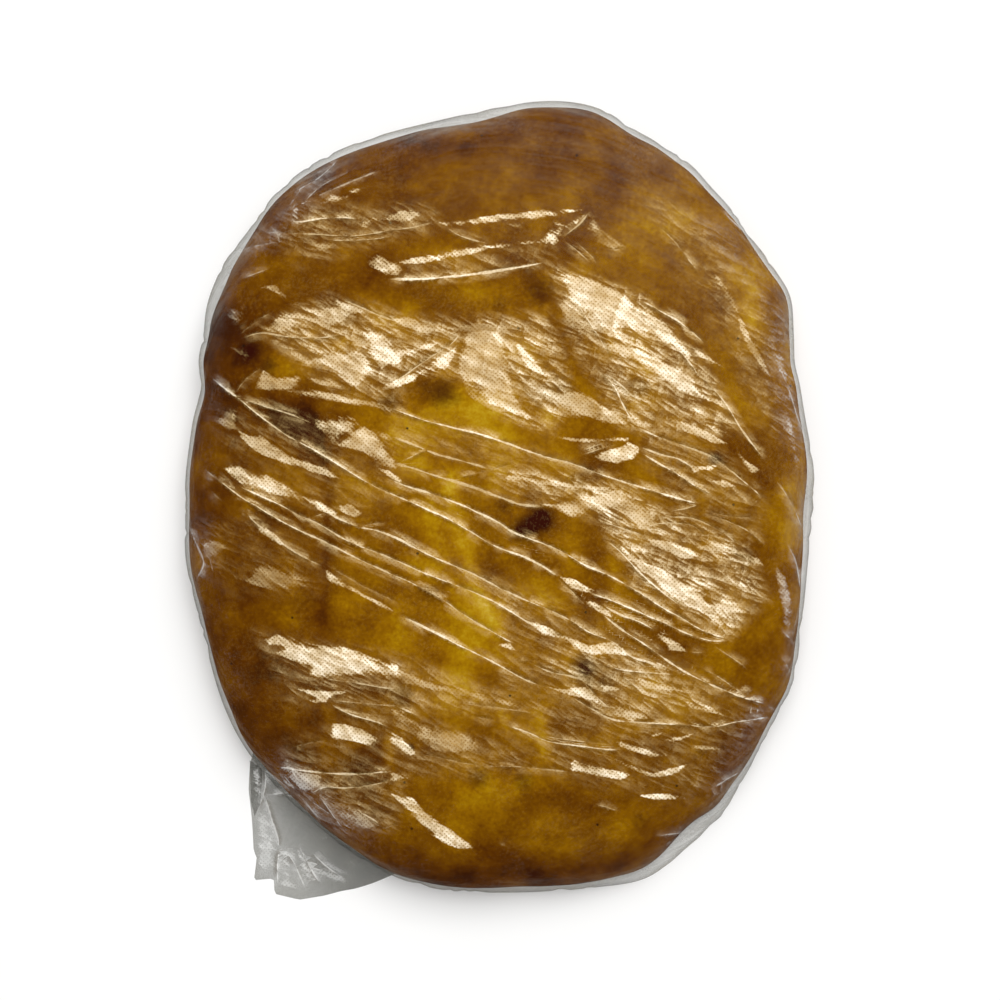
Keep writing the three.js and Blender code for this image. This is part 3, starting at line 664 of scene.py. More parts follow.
# sharp creases, raised a little and drawn with painted highlight lines: points in pixels, width in pixels, shine
filmCreases = [
    # long ones across the loaf
    ([(212, 378), (238, 397), (262, 417), (285, 434), (310, 448), (340, 466), (370, 484), (402, 498), (440, 515),
      (460, 526), (480, 538), (500, 548), (520, 555), (540, 565), (560, 578)], 1.8, 0.85),
    ([(384, 477), (410, 487), (432, 494), (455, 503), (480, 514), (500, 523), (512, 531), (530, 538), (548, 545),
      (565, 553), (582, 563), (602, 572), (622, 582), (642, 594), (662, 608), (682, 619), (702, 630),
      (729, 638)], 1.8, 0.9),
    ([(205, 470), (222, 482), (240, 496), (258, 507), (282, 521), (320, 540), (360, 560), (390, 573), (415, 584),
      (440, 598), (460, 612), (480, 625), (500, 636), (516, 645)], 1.6, 0.75),
    ([(240, 487), (262, 497), (284, 507), (320, 525), (345, 540), (375, 552), (400, 562), (420, 571), (450, 583),
      (475, 593), (500, 605), (525, 620), (545, 630), (572, 641)], 1.6, 0.8),
    ([(318, 504), (335, 517), (358, 527), (378, 531), (400, 540), (415, 548), (440, 560), (470, 573), (490, 583),
      (515, 595), (545, 608), (570, 620), (590, 632), (612, 641), (632, 657), (650, 663), (668, 672)], 1.8, 0.75),
    ([(400, 613), (410, 620), (440, 635), (455, 643), (475, 653), (495, 663), (520, 677), (545, 687)], 2.0, 0.85),
    ([(390, 407), (420, 419), (450, 427), (480, 434), (510, 445), (540, 456), (570, 464), (590, 471), (612, 478),
      (640, 487), (670, 497), (700, 504)], 2.0, 0.85),
    ([(390, 436), (420, 447), (440, 455), (465, 462), (492, 471)], 2.4, 0.5),
    ([(390, 463), (410, 467), (440, 477), (470, 487), (490, 494), (505, 499), (522, 504), (545, 506)], 2.8, 0.55),
    ([(242, 505), (252, 519), (275, 537), (300, 555), (323, 567)], 1.4, 0.6),
    ([(240, 398), (262, 405), (285, 412), (300, 418), (312, 423)], 1.4, 0.65),
    ([(330, 568), (365, 586), (402, 604)], 1.2, 0.35),
    ([(588, 592), (612, 600), (635, 610), (660, 622), (685, 633), (710, 640), (729, 639)], 1.6, 0.85),
    ([(556, 578), (570, 590), (586, 606)], 1.4, 0.75),
    ([(600, 612), (620, 628), (645, 645), (670, 663), (695, 677), (720, 688), (746, 698), (766, 704)], 1.6, 0.85),
    ([(600, 603), (620, 614), (640, 622), (656, 632)], 1.8, 0.8),
    ([(606, 540), (620, 552), (640, 572), (660, 590), (682, 608)], 1.8, 0.9),
    ([(720, 623), (730, 638)], 1.3, 0.75),
    # far end and shoulder
    ([(290, 213), (297, 205), (318, 204)], 1.4, 0.6),
    ([(290, 213), (296, 222), (325, 219), (345, 218), (360, 219)], 1.6, 0.8),
    ([(262, 233), (300, 234), (350, 236), (385, 232), (412, 228), (436, 222)], 1.6, 0.45),
    ([(325, 240), (360, 240), (385, 238), (402, 232)], 1.6, 0.5),
    ([(388, 279), (410, 279), (440, 278), (470, 275), (505, 270), (530, 266), (547, 262)], 2.8, 0.9),
    ([(440, 226), (465, 238), (492, 245)], 1.3, 0.45),
    ([(564, 240), (580, 254), (591, 264)], 1.5, 0.6),
    ([(572, 239), (590, 255), (599, 267)], 1.3, 0.45),
    ([(591, 209), (579, 224), (561, 239)], 1.5, 0.65),
    ([(424, 209), (434, 214), (438, 221)], 1.2, 0.5),
    ([(603, 247), (615, 250), (628, 247)], 1.6, 0.65),
    ([(655, 225), (675, 243), (690, 262), (701, 276)], 1.3, 0.45),
    ([(665, 200), (682, 213)], 1.2, 0.35),
    ([(340, 298), (362, 308), (385, 318), (402, 322)], 2.0, 0.7),
    ([(240, 334), (262, 318), (274, 311)], 1.3, 0.45),
    ([(243, 338), (262, 333), (290, 337), (320, 338), (346, 334)], 1.5, 0.55),
    ([(236, 394), (246, 380), (263, 368)], 1.5, 0.4),
    ([(390, 386), (410, 372), (430, 358), (450, 345), (463, 329)], 1.6, 0.75),
    ([(518, 380), (535, 398), (553, 416)], 1.2, 0.35),
    ([(640, 300), (660, 311), (680, 322), (706, 345)], 1.5, 0.85),
    ([(620, 300), (640, 314), (665, 334), (690, 363), (702, 382)], 1.6, 0.85),
    ([(575, 300), (592, 325), (607, 350), (612, 362)], 1.6, 0.75),
    ([(572, 338), (592, 330), (612, 325)], 1.4, 0.5),
    ([(697, 372), (712, 388), (726, 405), (741, 430), (756, 450), (764, 462)], 1.6, 0.65),
    ([(598, 370), (615, 388), (623, 405), (636, 427)], 1.5, 0.85),
    ([(600, 370), (620, 385), (633, 397)], 1.4, 0.7),
    # right of the middle
    ([(575, 453), (595, 446), (612, 441)], 1.3, 0.55),
    ([(578, 456), (600, 449), (618, 443)], 1.2, 0.45),
    ([(636, 427), (660, 437), (680, 444), (700, 452), (716, 459), (736, 475), (756, 492), (764, 501)], 1.5, 0.75),
    ([(638, 446), (660, 454), (676, 458), (690, 466), (700, 476)], 1.5, 0.75),
    ([(640, 452), (670, 470), (690, 483), (715, 495)], 1.5, 0.85),
    ([(665, 513), (690, 507), (703, 502)], 1.3, 0.5),
    ([(700, 508), (725, 515), (756, 518)], 1.3, 0.45),
    ([(700, 511), (740, 526), (766, 546)], 1.4, 0.5),
    ([(665, 518), (690, 518), (712, 526), (732, 539), (738, 550)], 1.5, 0.6),
    ([(718, 546), (745, 560), (766, 566)], 1.4, 0.5),
    ([(640, 530), (660, 524), (690, 525), (702, 533), (706, 542)], 1.4, 0.6),
    ([(600, 520), (620, 528), (646, 538)], 2.2, 0.75),
    # scratches
    ([(400, 462), (420, 452), (432, 448)], 1.0, 0.7),
    ([(455, 478), (480, 474), (500, 468), (516, 465)], 1.0, 0.5),
    ([(310, 518), (340, 508)], 1.0, 0.6),
    ([(355, 527), (386, 522)], 1.0, 0.75),
    ([(595, 804), (620, 811)], 1.3, 0.7),
    # near end
    ([(688, 652), (706, 652)], 1.2, 0.45),
    ([(600, 663), (620, 670), (650, 673), (678, 675)], 1.5, 0.7),
    ([(620, 674), (640, 690), (645, 694)], 1.3, 0.7),
    ([(700, 667), (720, 677), (746, 696)], 1.3, 0.6),
    ([(714, 645), (740, 662), (747, 669)], 1.3, 0.4),
    ([(628, 699), (632, 721)], 1.2, 0.45),
    ([(515, 662), (532, 660)], 1.5, 0.6),
    ([(530, 663), (550, 672), (575, 678), (584, 683)], 1.8, 0.75),
    ([(583, 682), (597, 698), (612, 712)], 1.6, 0.75),
    ([(570, 696), (590, 708), (612, 719), (640, 722), (680, 724), (712, 727), (736, 722), (772, 717)], 1.6, 0.75),
    ([(460, 702), (500, 708), (537, 713)], 1.3, 0.4),
    ([(470, 715), (498, 721)], 1.6, 0.65),
    ([(505, 725), (530, 733), (545, 740), (570, 744), (600, 748), (622, 750)], 1.8, 0.75),
    ([(540, 735), (590, 742), (612, 744)], 1.2, 0.5),
    ([(322, 678), (350, 682), (380, 687), (402, 690)], 1.4, 0.5),
    ([(330, 704), (350, 714), (375, 721), (392, 728)], 1.5, 0.7),
    ([(330, 700), (360, 703), (402, 706)], 1.8, 0.35),
    ([(395, 705), (410, 712), (421, 718)], 1.6, 0.6),
    ([(290, 748), (310, 743), (328, 739)], 1.3, 0.4),
    ([(277, 766), (300, 770), (330, 773), (360, 774), (380, 772), (398, 770)], 2.0, 0.8),
    ([(278, 768), (290, 782), (305, 800), (323, 825)], 1.5, 0.55),
    ([(310, 794), (325, 787), (345, 788), (370, 785), (390, 780), (402, 772)], 1.8, 0.75),
    ([(318, 792), (335, 818), (343, 829)], 1.5, 0.5),
    ([(355, 809), (375, 820), (383, 829)], 1.5, 0.55),
    ([(383, 829), (400, 823)], 1.6, 0.6),
    ([(420, 753), (450, 760), (480, 765), (520, 767), (550, 770), (572, 772)], 1.4, 0.5),
    ([(470, 774), (476, 778)], 1.6, 0.8),
    ([(477, 775), (484, 781)], 1.8, 0.9),
    ([(498, 842), (507, 846)], 2.0, 0.55),
    ([(262, 577), (269, 570)], 1.3, 0.5),
    ([(232, 572), (239, 581)], 1.3, 0.4),
    ([(210, 490), (223, 501)], 1.3, 0.4),
    # rim, skirt and loose corner
    ([(263, 797), (270, 820), (277, 845), (275, 870), (276, 893)], 1.8, 0.8),
    ([(263, 797), (300, 795)], 1.5, 0.6),
    ([(296, 846), (308, 868), (320, 888)], 1.5, 0.65),
    ([(277, 848), (290, 862), (305, 893)], 1.5, 0.6),
    ([(308, 852), (325, 868), (350, 886)], 1.3, 0.45),
    ([(262, 768), (263, 790), (256, 814)], 1.4, 0.6),
    ([(258, 765), (285, 785), (298, 800)], 1.6, 0.45),
    ([(708, 790), (725, 780), (745, 768), (755, 758)], 1.8, 0.4),
    ([(655, 836), (690, 832), (706, 832)], 1.5, 0.35),
    ([(700, 797), (722, 793)], 1.2, 0.3),
    ([(188, 522), (200, 550), (204, 565), (196, 580)], 1.6, 0.4),
    ([(780, 630), (796, 646)], 1.4, 0.4),
    ([(780, 655), (793, 676)], 1.4, 0.4),
    ([(766, 703), (779, 713)], 1.3, 0.4),
    ([(785, 540), (795, 562), (800, 592)], 1.6, 0.45),
    ([(768, 350), (785, 380), (798, 420), (807, 441)], 1.5, 0.4),
    ([(775, 480), (792, 505), (803, 530)], 1.6, 0.45),
    ([(290, 195), (320, 178), (342, 157)], 1.8, 0.45),
    ([(300, 205), (345, 185), (381, 170)], 1.5, 0.4),
    ([(228, 254), (248, 248), (290, 240)], 1.4, 0.35),
    ([(240, 280), (270, 268)], 1.6, 0.3),
    ([(720, 210), (735, 224), (751, 239)], 1.5, 0.4),
]

# wide stretches of film crazed with small wrinkles, drawn with painted sheen: corners in pixels, softness of the
# edge in mm, shine
filmCrazing = [
    ([(262, 328), (330, 296), (400, 316), (400, 400), (340, 394), (300, 362)], 4, 0.42),
    ([(380, 318), (470, 320), (545, 314), (560, 345), (570, 400), (551, 437), (500, 412), (470, 384), (440, 370),
      (380, 372)], 4, 0.45),
    ([(548, 262), (640, 296), (700, 350), (740, 430), (700, 440), (620, 425), (575, 350)], 3.5, 0.45),
    ([(490, 468), (620, 484), (670, 512), (745, 540), (766, 600), (727, 636), (650, 596), (600, 522), (566, 500),
      (500, 492)], 4, 0.5),
    ([(212, 410), (300, 418), (400, 440), (410, 490), (345, 520), (240, 490)], 4, 0.08),
    ([(195, 520), (260, 512), (335, 568), (320, 592), (240, 594), (200, 572)], 5, 0.06),
    ([(255, 630), (410, 660), (545, 702), (540, 716), (400, 706), (290, 704)], 4, 0.18),
    ([(284, 742), (388, 704), (530, 754), (520, 772), (330, 776), (280, 772)], 4, 0.12),
    ([(272, 764), (330, 772), (408, 772), (395, 830), (340, 832), (300, 800)], 3, 0.16),
    ([(500, 608), (640, 644), (770, 704), (764, 722), (690, 800), (560, 776), (500, 730)], 5, 0.12),
    ([(540, 640), (640, 655), (720, 690), (700, 712), (600, 722), (552, 700)], 5, 0.3),
    ([(440, 560), (530, 590), (620, 632), (560, 640), (480, 610)], 4, 0.16),
    ([(255, 234), (300, 204), (430, 206), (442, 226), (350, 252), (300, 266)], 4, 0.16),
    ([(640, 190), (720, 230), (790, 330), (802, 450), (760, 430), (700, 290)], 6, 0.13),
    ([(388, 405), (700, 503), (700, 520), (500, 474), (390, 444)], 4, 0.1),
    ([(400, 262), (550, 240), (560, 262), (400, 282)], 3, 0.16),
    ([(640, 430), (720, 450), (766, 500), (760, 530), (690, 500), (640, 460)], 4, 0.16),
]

# where slack film at the rim looks milky: turn and spread in degrees, from which share of the outline, strength
rimHaze = {
    "allRound": (0.975, 0.25), "lead": 0.02,  # how much further in a patch begins to show
    "patches": [
        (141, 10, 0.93, 0.55), (120, 8, 0.91, 0.42), (97, 10, 0.93, 0.55), (80, 9, 0.955, 0.4),
        (62, 8, 0.97, 0.35), (45, 11, 0.98, 0.4), (33, 6, 0.95, 0.55), (12, 8, 0.96, 0.4), (-1, 8, 0.9, 0.5),
        (-22, 12, 0.95, 0.4), (-40, 8, 0.98, 0.2), (-58, 12, 0.94, 0.7), (-90, 18, 0.985, 0.2),
        (-122, 11, 0.98, 0.25), (-147, 10, 0.985, 0.2), (-170, 14, 0.98, 0.4), (170, 12, 0.98, 0.3),
        (156, 8, 0.985, 0.25), (68, 34, 0.45, 0.1),
    ],
}

# pleats down the bag's sides
sidePleats = {"count": 80, "seed": 5, "halfWidthDeg": (0.6, 2.4), "depth": (0.1, 0.8)}

# the bag's loose corner: sheets of film from a line under the rim out to a ragged edge, points in pixels
looseCorner = [
    {"inner": [(256, 745), (282, 775), (312, 808), (345, 838), (380, 858), (405, 864)],
     "outer": [(250, 764), (249, 790), (252, 815), (254, 850), (257, 857), (254, 880), (274, 878), (275, 893),
               (300, 899), (322, 896), (340, 891), (355, 888), (372, 883), (396, 873)],
     "lift": 6.0, "wave": 0.6},
    {"inner": [(252, 758), (264, 766)], "outer": [(251, 800), (255, 815), (261, 803)],
     "lift": 7.0, "wave": 0.4},
]
cornerLook = {
    "across": 56, "along": 22, "thickness": 0.25, "clear": 0.5, "apart": 0.8,
    "rippleAcross": 17, "rippleAlong": 5, "crumple": 1.5, "crumpleMm": 9, "crumpleSeed": 40,
    "paleFrom": (330, 800), "paleReach": (7.5, 32),  # pixel, and mm from it towards the tip
    "paleTurn": 0.5, "paler": 0.4,  # part of the way that runs along the loaf, and how much less grey the tip is
}


def bagHeight(x, y):
    # film pulled tight over the dome, never under the bread
    tight = domeHeight(x, y, bagForm)
    angle = np.arctan2(y, x)
    breadShare = np.hypot(x, y) / outlineRadius(angle, breadForm)
    over = domeHeight(x, y, breadForm) + np.maximum(breadRelief(x, y), 0) + filmLook["clearance"]
    return np.where(breadShare < filmLook["clearTo"], np.maximum(tight, over), tight)


def nearby(x, y, points, reach):
    xs, ys = [p[0] for p in points], [p[1] for p in points]
    inX = (x > min(xs) - reach) & (x < max(xs) + reach)
    return np.nonzero(inX & (y > min(ys) - reach) & (y < max(ys) + reach))[0]


def filmFolds(x, y):
    # height of the folds over the tight film, and the values the film's shader draws them from
    look = filmLook
    flat = np.zeros_like(x)
    coarse, overCoarse, fine, overFine = look["waverMm"]
    strayX, strayY = [
        place + coarse * noiseAt(x, y, flat, overCoarse, coarseSeed)
        + fine * noiseAt(x, y, flat, overFine, fineSeed)
        for place, (coarseSeed, fineSeed) in zip((x, y), look["waverSeeds"])
    ]
    # a facet's edge is crisp in some places and runs out softly in others
    crisp, gentle, over = look["edgeSpread"]
    gentleAt = ease(*look["spreadEnds"], noiseAt(x, y, flat, over, look["spreadSeed"]))
    spread = crisp + (gentle - crisp) * gentleAt
    relief = np.zeros_like(x)
    folds = {name: np.zeros_like(x) for name in ("facetShine", "creaseWidth", "creaseShine", "crazed")}
    folds["facet"] = np.full_like(x, look["facetLow"])
    folds["creaseSide"] = np.full_like(x, look["creaseFar"])
    for corners, soft, shine in filmCrazing:
        inside = insideDistance(strayX, strayY, fromPhoto(corners))
        folds["crazed"] = np.maximum(folds["crazed"], shine * ease(-soft, soft, inside))
    for corners, soft, shine in filmFacets:
        corners = fromPhoto(corners)
        close = nearby(x, y, corners, 2 - look["facetLow"] * soft)  # 2 mm more than the fade is long
        inside = insideDistance(strayX[close], strayY[close], corners)
        value = np.clip(inside / (soft * spread[close]), look["facetLow"], 1)
        best = value > folds["facet"][close]
        folds["facetShine"][close] = np.where(best, shine, folds["facetShine"][close])
        folds["facet"][close] = np.maximum(folds["facet"][close], value)
        rise = look["facetRise"] * np.clip(inside, 0, look["facetMost"])
        relief[close] = np.maximum(relief[close], rise)
    nearest, second = np.full_like(x, farAway), np.full_like(x, farAway)
    for points, width, shine in filmCreases:
        line = smoothLine(fromPhoto(points))
        close = nearby(x, y, line, look["creaseFar"])
        off, side, fromEnd = strokeDistance(strayX[close], strayY[close], line)
        taper = ease(0, look["foldTaper"], fromEnd + look["bluntEnd"])
        narrowed = width * photo["pixelMm"] / 2 * (look["creaseTip"] + (1 - look["creaseTip"]) * taper)
        best = off < nearest[close]
        second[close] = np.where(best, nearest[close], np.minimum(second[close], off))
        nearest[close] = np.minimum(nearest[close], off)
        seen = shine * taper * ease(*look["creaseSeen"], off)
        sideways = side * np.minimum(off, look["creaseFar"])
        for name, value in (("creaseSide", sideways), ("creaseShine", seen), ("creaseWidth", narrowed)):
            folds[name][close] = np.where(best, value, folds[name][close])
        ridge = look["creaseRise"] * taper * np.clip(1 - off / look["creaseReach"], 0, 1)
        relief[close] = np.maximum(relief[close], ridge)
    # between two creases the side changes at once, so nothing is drawn there
    apart, own = ease(*look["creaseGap"], second - nearest), ease(*look["creaseOwn"], nearest)
    folds["creaseShine"] *= np.maximum(apart, own)
    return relief, folds


def hazeAt(angle, share):
    fromShare, strength = rimHaze["allRound"]
    haze = strength * ease(fromShare, 1.0, share)
    for turn, spread, fromShare, strength in rimHaze["patches"]:
        around = np.exp(-((turnOff(angle, turn) / spread) ** 2))
        haze = np.maximum(haze, strength * around * ease(fromShare - rimHaze["lead"], 1.0, share))
    return haze


def sidePleat(angle):
    rng = np.random.default_rng(sidePleats["seed"])
    pleat = np.zeros_like(angle)
    for _ in range(sidePleats["count"]):
        at, width = rng.uniform(-180, 180), rng.uniform(*sidePleats["halfWidthDeg"])
        depth = rng.uniform(*sidePleats["depth"])
        pleat = np.maximum(pleat, depth * np.clip(1 - np.abs(turnOff(angle, at)) / width, 0, 1))
    return pleat


def alongLine(points, share):
    # the place a share of the way along a line
    spots = [Vector(p) for p in points]
    lengths = [(b - a).length for a, b in zip(spots, spots[1:])]
    left = share * sum(lengths)
    for start, end, length in zip(spots, spots[1:], lengths):
        if left <= length:
            return start.lerp(end, left / length)
        left -= length
    return spots[-1]


def addSheet(bm, sheet, layer):
    # one sheet of the loose corner, rippled and given a little thickness
    look = cornerLook
    inner, outer = fromPhoto(sheet["inner"], look["clear"]), fromPhoto(sheet["outer"], look["clear"])
    made = bmesh.ops.create_grid(bm, x_segments=look["across"], y_segments=look["along"], size=0.5)["verts"]
    for v in made:
        across, along = min(max(v.co.x + 0.5, 0), 1), min(max(0.5 - v.co.y, 0), 1)
        spot = alongLine(inner, across).lerp(alongLine(outer, across), along)
        ripple = sheet["wave"] * (1 + math.sin(look["rippleAcross"] * across + look["rippleAlong"] * along))
        where = Vector((spot.x, spot.y, look["crumpleSeed"])) / look["crumpleMm"]
        rest = look["clear"] + look["apart"] * layer
        lift = sheet["lift"] * (1 - along) ** 2
        v.co = (spot.x, spot.y, rest + lift + ripple + look["crumple"] * abs(noise.noise(where)))
    faces = list({f for v in made for f in v.link_faces})
    bmesh.ops.solidify(bm, geom=faces, thickness=look["thickness"])


# how the film's sheen is drawn; each tone is a pattern's low and high end, then what they make of the sheen
sheenLook = {
    "pins": (40, 1.15, 0.15),  # turn of the rows in degrees, pitch in mm, and how far the dots stray from it
    # turn in degrees, length and width in mm, and part of the height
    "fineWrinkles": [(-24, 20, 6, 1.0), (50, 14, 5.5, 0.9)],
    "wideWrinkles": [(-28, 60, 20, 1.0), (48, 45, 17, 1.0)],
    "lampStep": (0.32, 0.32, 0.0),  # mm towards the lamp
    "unevenMm": 7, "whereMm": 16, "fleckMm": 0.9, "looseMm": 22, "fringeMm": 1.5,
    # facets and crazed film
    "pinTone": (0.1, 0.3, 0.45, 1.0), "pinFade": (0.1, 0.5, -0.12, 0.05),
    "wrinkleFade": (-0.25, 0.25, -0.28, 0.22), "facetEnds": (0.05, 0.9),
    "fineTone": (-0.25, 0.25, 0.7, 1.25), "wideTone": (-0.09, 0.1, 0.62, 1.2),
    "unevenTone": (0.35, 0.6, 0.75, 1.1), "crazedFine": (-0.14, 0.27, 0.15, 1.6),
    "crazedWide": (-0.08, 0.1, 0.35, 1.35), "crazedUneven": (0.35, 0.6, 0.6, 1.3),
    # creases
    "creasePinch": (0.38, 0.62, -0.34, 0.08), "creaseEdge": (-0.14, 0.12, 0.0, 1.0),
    "coreTone": (0.35, 0.6, 0.75, 1.1), "creaseTone": (0.35, 0.65, 0.65, 1.15),
    "fringeFade": 0.3, "fringeTone": (0.48, 0.85, 0.0, 0.26),
    "litTurn": (0.45, 0.55, -1.0, 1.0), "flankEdge": (-0.1, 0.1, 0.0, 1.0),
    "flankTone": (0.0, 3.2, 0.6, 0.0), "flankWrinkles": (-0.2, 0.2, 0.3, 1.3),
    "shadeReach": (-2.0, -0.3, 0.0, 0.55), "shadeEdge": (-0.2, 0.1, 1.0, 0.0), "foldShadeTint": "#6e5c40",
    "loosePart": 0.7, "fleckTone": (0.9, 1.15, 0.0, 0.045),
    # rim: over what length its streaks wander and how far, both in mm, then their grain along the rim and across
    "wanderMm": 45, "wanderBy": 9.0, "streakTurns": (8, 8, 0), "streakScale": 0.7,
    "topGloss": (-0.2, 0.25, 0.02, 0.5), "rimGloss": (0.46, 0.66, 0.0, 0.21), "grazing": 3.0,
    "roughness": 0.16, "bump": 0.3, "bumpMm": 0.4,
    "streakTone": (0.35, 0.65, 0.3, 1.0), "hazeTone": (0.35, 0.6, 0.7, 1.1),
    "sheen": 0.97, "faintSheen": "#ffd77f", "fullSheen": "#fff1d8", "slackSheen": "#eeeeec",
    "clearTint": "#fcfcfb", "greyAndShadeTint": "#b2b2b0", "mirrorTint": "#fff3d8", "milk": "#a09f98",
}


def filmMaterial():
    # blown polyethylene film with fine pin dots: clear, with sharp painted highlights (a matt sheen layer) where
    # it stands free of the crust, dull where it clings, milky where it hangs slack, and grey where several layers
    # lie together, a grey that also paints the shadow it does not cast
    material = bpy.data.materials.new("pinDottedPolyethyleneFilm")
    material.use_nodes = True
    tree = material.node_tree
    tree.nodes.clear()
    add = partial(addNode, tree)
    look = sheenLook
    times, plus, minus, most, timesPlus, absolute = [
        {"operation": name} for name in ("MULTIPLY", "ADD", "SUBTRACT", "MAXIMUM", "MULTIPLY_ADD", "ABSOLUTE")
    ]
    timesClamped = {**times, "use_clamp": True}
    smooth, texture = {"interpolation_type": "SMOOTHSTEP"}, {"vector_type": "TEXTURE"}
    colours = {"data_type": "RGBA"}
    coords = add("ShaderNodeTexCoord").outputs["Object"]
    stored = {
        name: add("ShaderNodeAttribute", {"attribute_name": name}).outputs["Fac"]
        for name in ("facet", "facetShine", "crazed", "creaseSide", "creaseWidth", "creaseShine", "haze", "slack",
                     "ring", "rim")
    }
    # pin dots in staggered rows
    turn, pitch, stray = look["pins"]
    pinPlane = add("ShaderNodeMapping", texture, Vector=coords, Rotation=(0, 0, math.radians(turn)),
                   Scale=(pitch * mm, pitch * mm, pitch * mm))
    pins = add("ShaderNodeTexVoronoi", {"voronoi_dimensions": "2D"}, Vector=pinPlane, Scale=1.0, Randomness=stray)
    pinTone = add("ShaderNodeMapRange", {}, pins, *look["pinTone"])
    # painted light and shade of wrinkles in two directions: dark where their height falls away from the lamp,
    # bright where it rises
    places = [coords, add("ShaderNodeVectorMath", plus, coords, [step * mm for step in look["lampStep"]])]
    slopes = {}
    for name in ("fineWrinkles", "wideWrinkles"):
        heights = []
        for place in places:
            height = 0.0
            for turn, along, across, part in look[name]:
                plane = add("ShaderNodeMapping", texture, Vector=place, Rotation=(0, 0, math.radians(turn)),
                            Scale=(along * mm, across * mm, along * mm))
                ridges = add("ShaderNodeTexNoise", {"noise_type": "RIDGED_MULTIFRACTAL", "normalize": False},
                             Vector=plane, Scale=1.0, Detail=2.0, Roughness=0.5, Offset=1.0, Gain=2.0)
                height = add("ShaderNodeMath", timesPlus, ridges, part, height)
            heights.append(height)
        slopes[name] = add("ShaderNodeMath", minus, *heights)
    fineSlope, wideSlope = slopes["fineWrinkles"], slopes["wideWrinkles"]
    uneven = add("ShaderNodeTexNoise", Vector=coords, Scale=perMetre(look["unevenMm"]), Detail=3.0, Roughness=0.6)
    where = add("ShaderNodeTexNoise", Vector=coords, Scale=perMetre(look["whereMm"]), Detail=1.0)
    # the facets' painted highlights fade out through the wrinkles and the dots
    facetEdge = stored["facet"]
    for pattern, ends in ((fineSlope, "wrinkleFade"), (pins, "pinFade")):
        facetEdge = add("ShaderNodeMath", plus, facetEdge, add("ShaderNodeMapRange", {}, pattern, *look[ends]))
    facetIn = add("ShaderNodeMapRange", smooth, facetEdge, *look["facetEnds"])
    facetLit = add("ShaderNodeMath", times, add("ShaderNodeMath", times, stored["facetShine"], pinTone), facetIn)
    for pattern, ends in ((fineSlope, "fineTone"), (wideSlope, "wideTone"), (uneven, "unevenTone")):
        facetLit = add("ShaderNodeMath", times, facetLit, add("ShaderNodeMapRange", {}, pattern, *look[ends]))
    # painted sheen: crazed film is drawn catching the light on its wrinkles only
    crazedLit = add("ShaderNodeMath", times, stored["crazed"], pinTone)
    for pattern, ends in ((fineSlope, "crazedFine"), (wideSlope, "crazedWide"), (uneven, "crazedUneven")):
        crazedLit = add("ShaderNodeMath", times, crazedLit, add("ShaderNodeMapRange", {}, pattern, *look[ends]))
    # painted highlights of the creases: sharp lines a hair wide, with a fringe of small wrinkles and a lit flank
    # on one side
    fleck = add("ShaderNodeTexNoise", Vector=coords, Scale=perMetre(look["fleckMm"]), Detail=2.0, Roughness=0.6)
    creaseOff = add("ShaderNodeMath", absolute, stored["creaseSide"])
    pinch = add("ShaderNodeMapRange", {}, uneven, *look["creasePinch"])
    creaseHalf = add("ShaderNodeMath", plus, stored["creaseWidth"], pinch)
    creaseIn = add("ShaderNodeMath", minus, creaseHalf, creaseOff)
    core = add("ShaderNodeMath", times, add("ShaderNodeMapRange", smooth, creaseIn, *look["creaseEdge"]),
               add("ShaderNodeMapRange", {}, fleck, *look["coreTone"]))
    fade = look["fringeFade"]
    fringeAt = add("ShaderNodeMapRange", {}, creaseIn, -look["fringeMm"], 0.0, -fade, fade)
    fringe = add("ShaderNodeMapRange", {}, add("ShaderNodeMath", plus, fleck, fringeAt), *look["fringeTone"])
    litTurn = add("ShaderNodeMapRange", {}, where, *look["litTurn"])
    litSign = add("ShaderNodeMath", {"operation": "SIGN"}, litTurn)
    litSide = add("ShaderNodeMath", times, stored["creaseSide"], litSign)
    sureSide = add("ShaderNodeMath", absolute, litTurn)
    flank = add("ShaderNodeMath", times, pinTone, sureSide)
    for pattern, ends in ((litSide, "flankEdge"), (litSide, "flankTone"), (fineSlope, "flankWrinkles")):
        flank = add("ShaderNodeMath", times, flank, add("ShaderNodeMapRange", {}, pattern, *look[ends]))
    creaseLit = add("ShaderNodeMath", most, add("ShaderNodeMath", most, core, fringe), flank)
    for part in (stored["creaseShine"], add("ShaderNodeMapRange", {}, where, *look["creaseTone"])):
        creaseLit = add("ShaderNodeMath", times, creaseLit, part)
    # painted glints: flecks where the clinging film lets go of the crust
    loose = add("ShaderNodeTexNoise", Vector=coords, Scale=perMetre(look["looseMm"]), Detail=2.0)
    fleckAt = add("ShaderNodeMath", timesPlus, loose, look["loosePart"], fleck)
    lit = add("ShaderNodeMapRange", {}, fleckAt, *look["fleckTone"])
    for part in (facetLit, crazedLit, creaseLit):
        lit = add("ShaderNodeMath", most, lit, part)
    # the painted sheen: a matt layer lit by the soft light of the room, drawn in place of the film's highlights
    sheen = add("ShaderNodeMath", timesClamped, lit, look["sheen"])
    # the slack value greys the film, for the layers that lie together and as painted shade for the shadow the
    # film does not cast
    tint = add("ShaderNodeMix", colours, stored["slack"], linearColour(look["clearTint"]),
               linearColour(look["greyAndShadeTint"]))
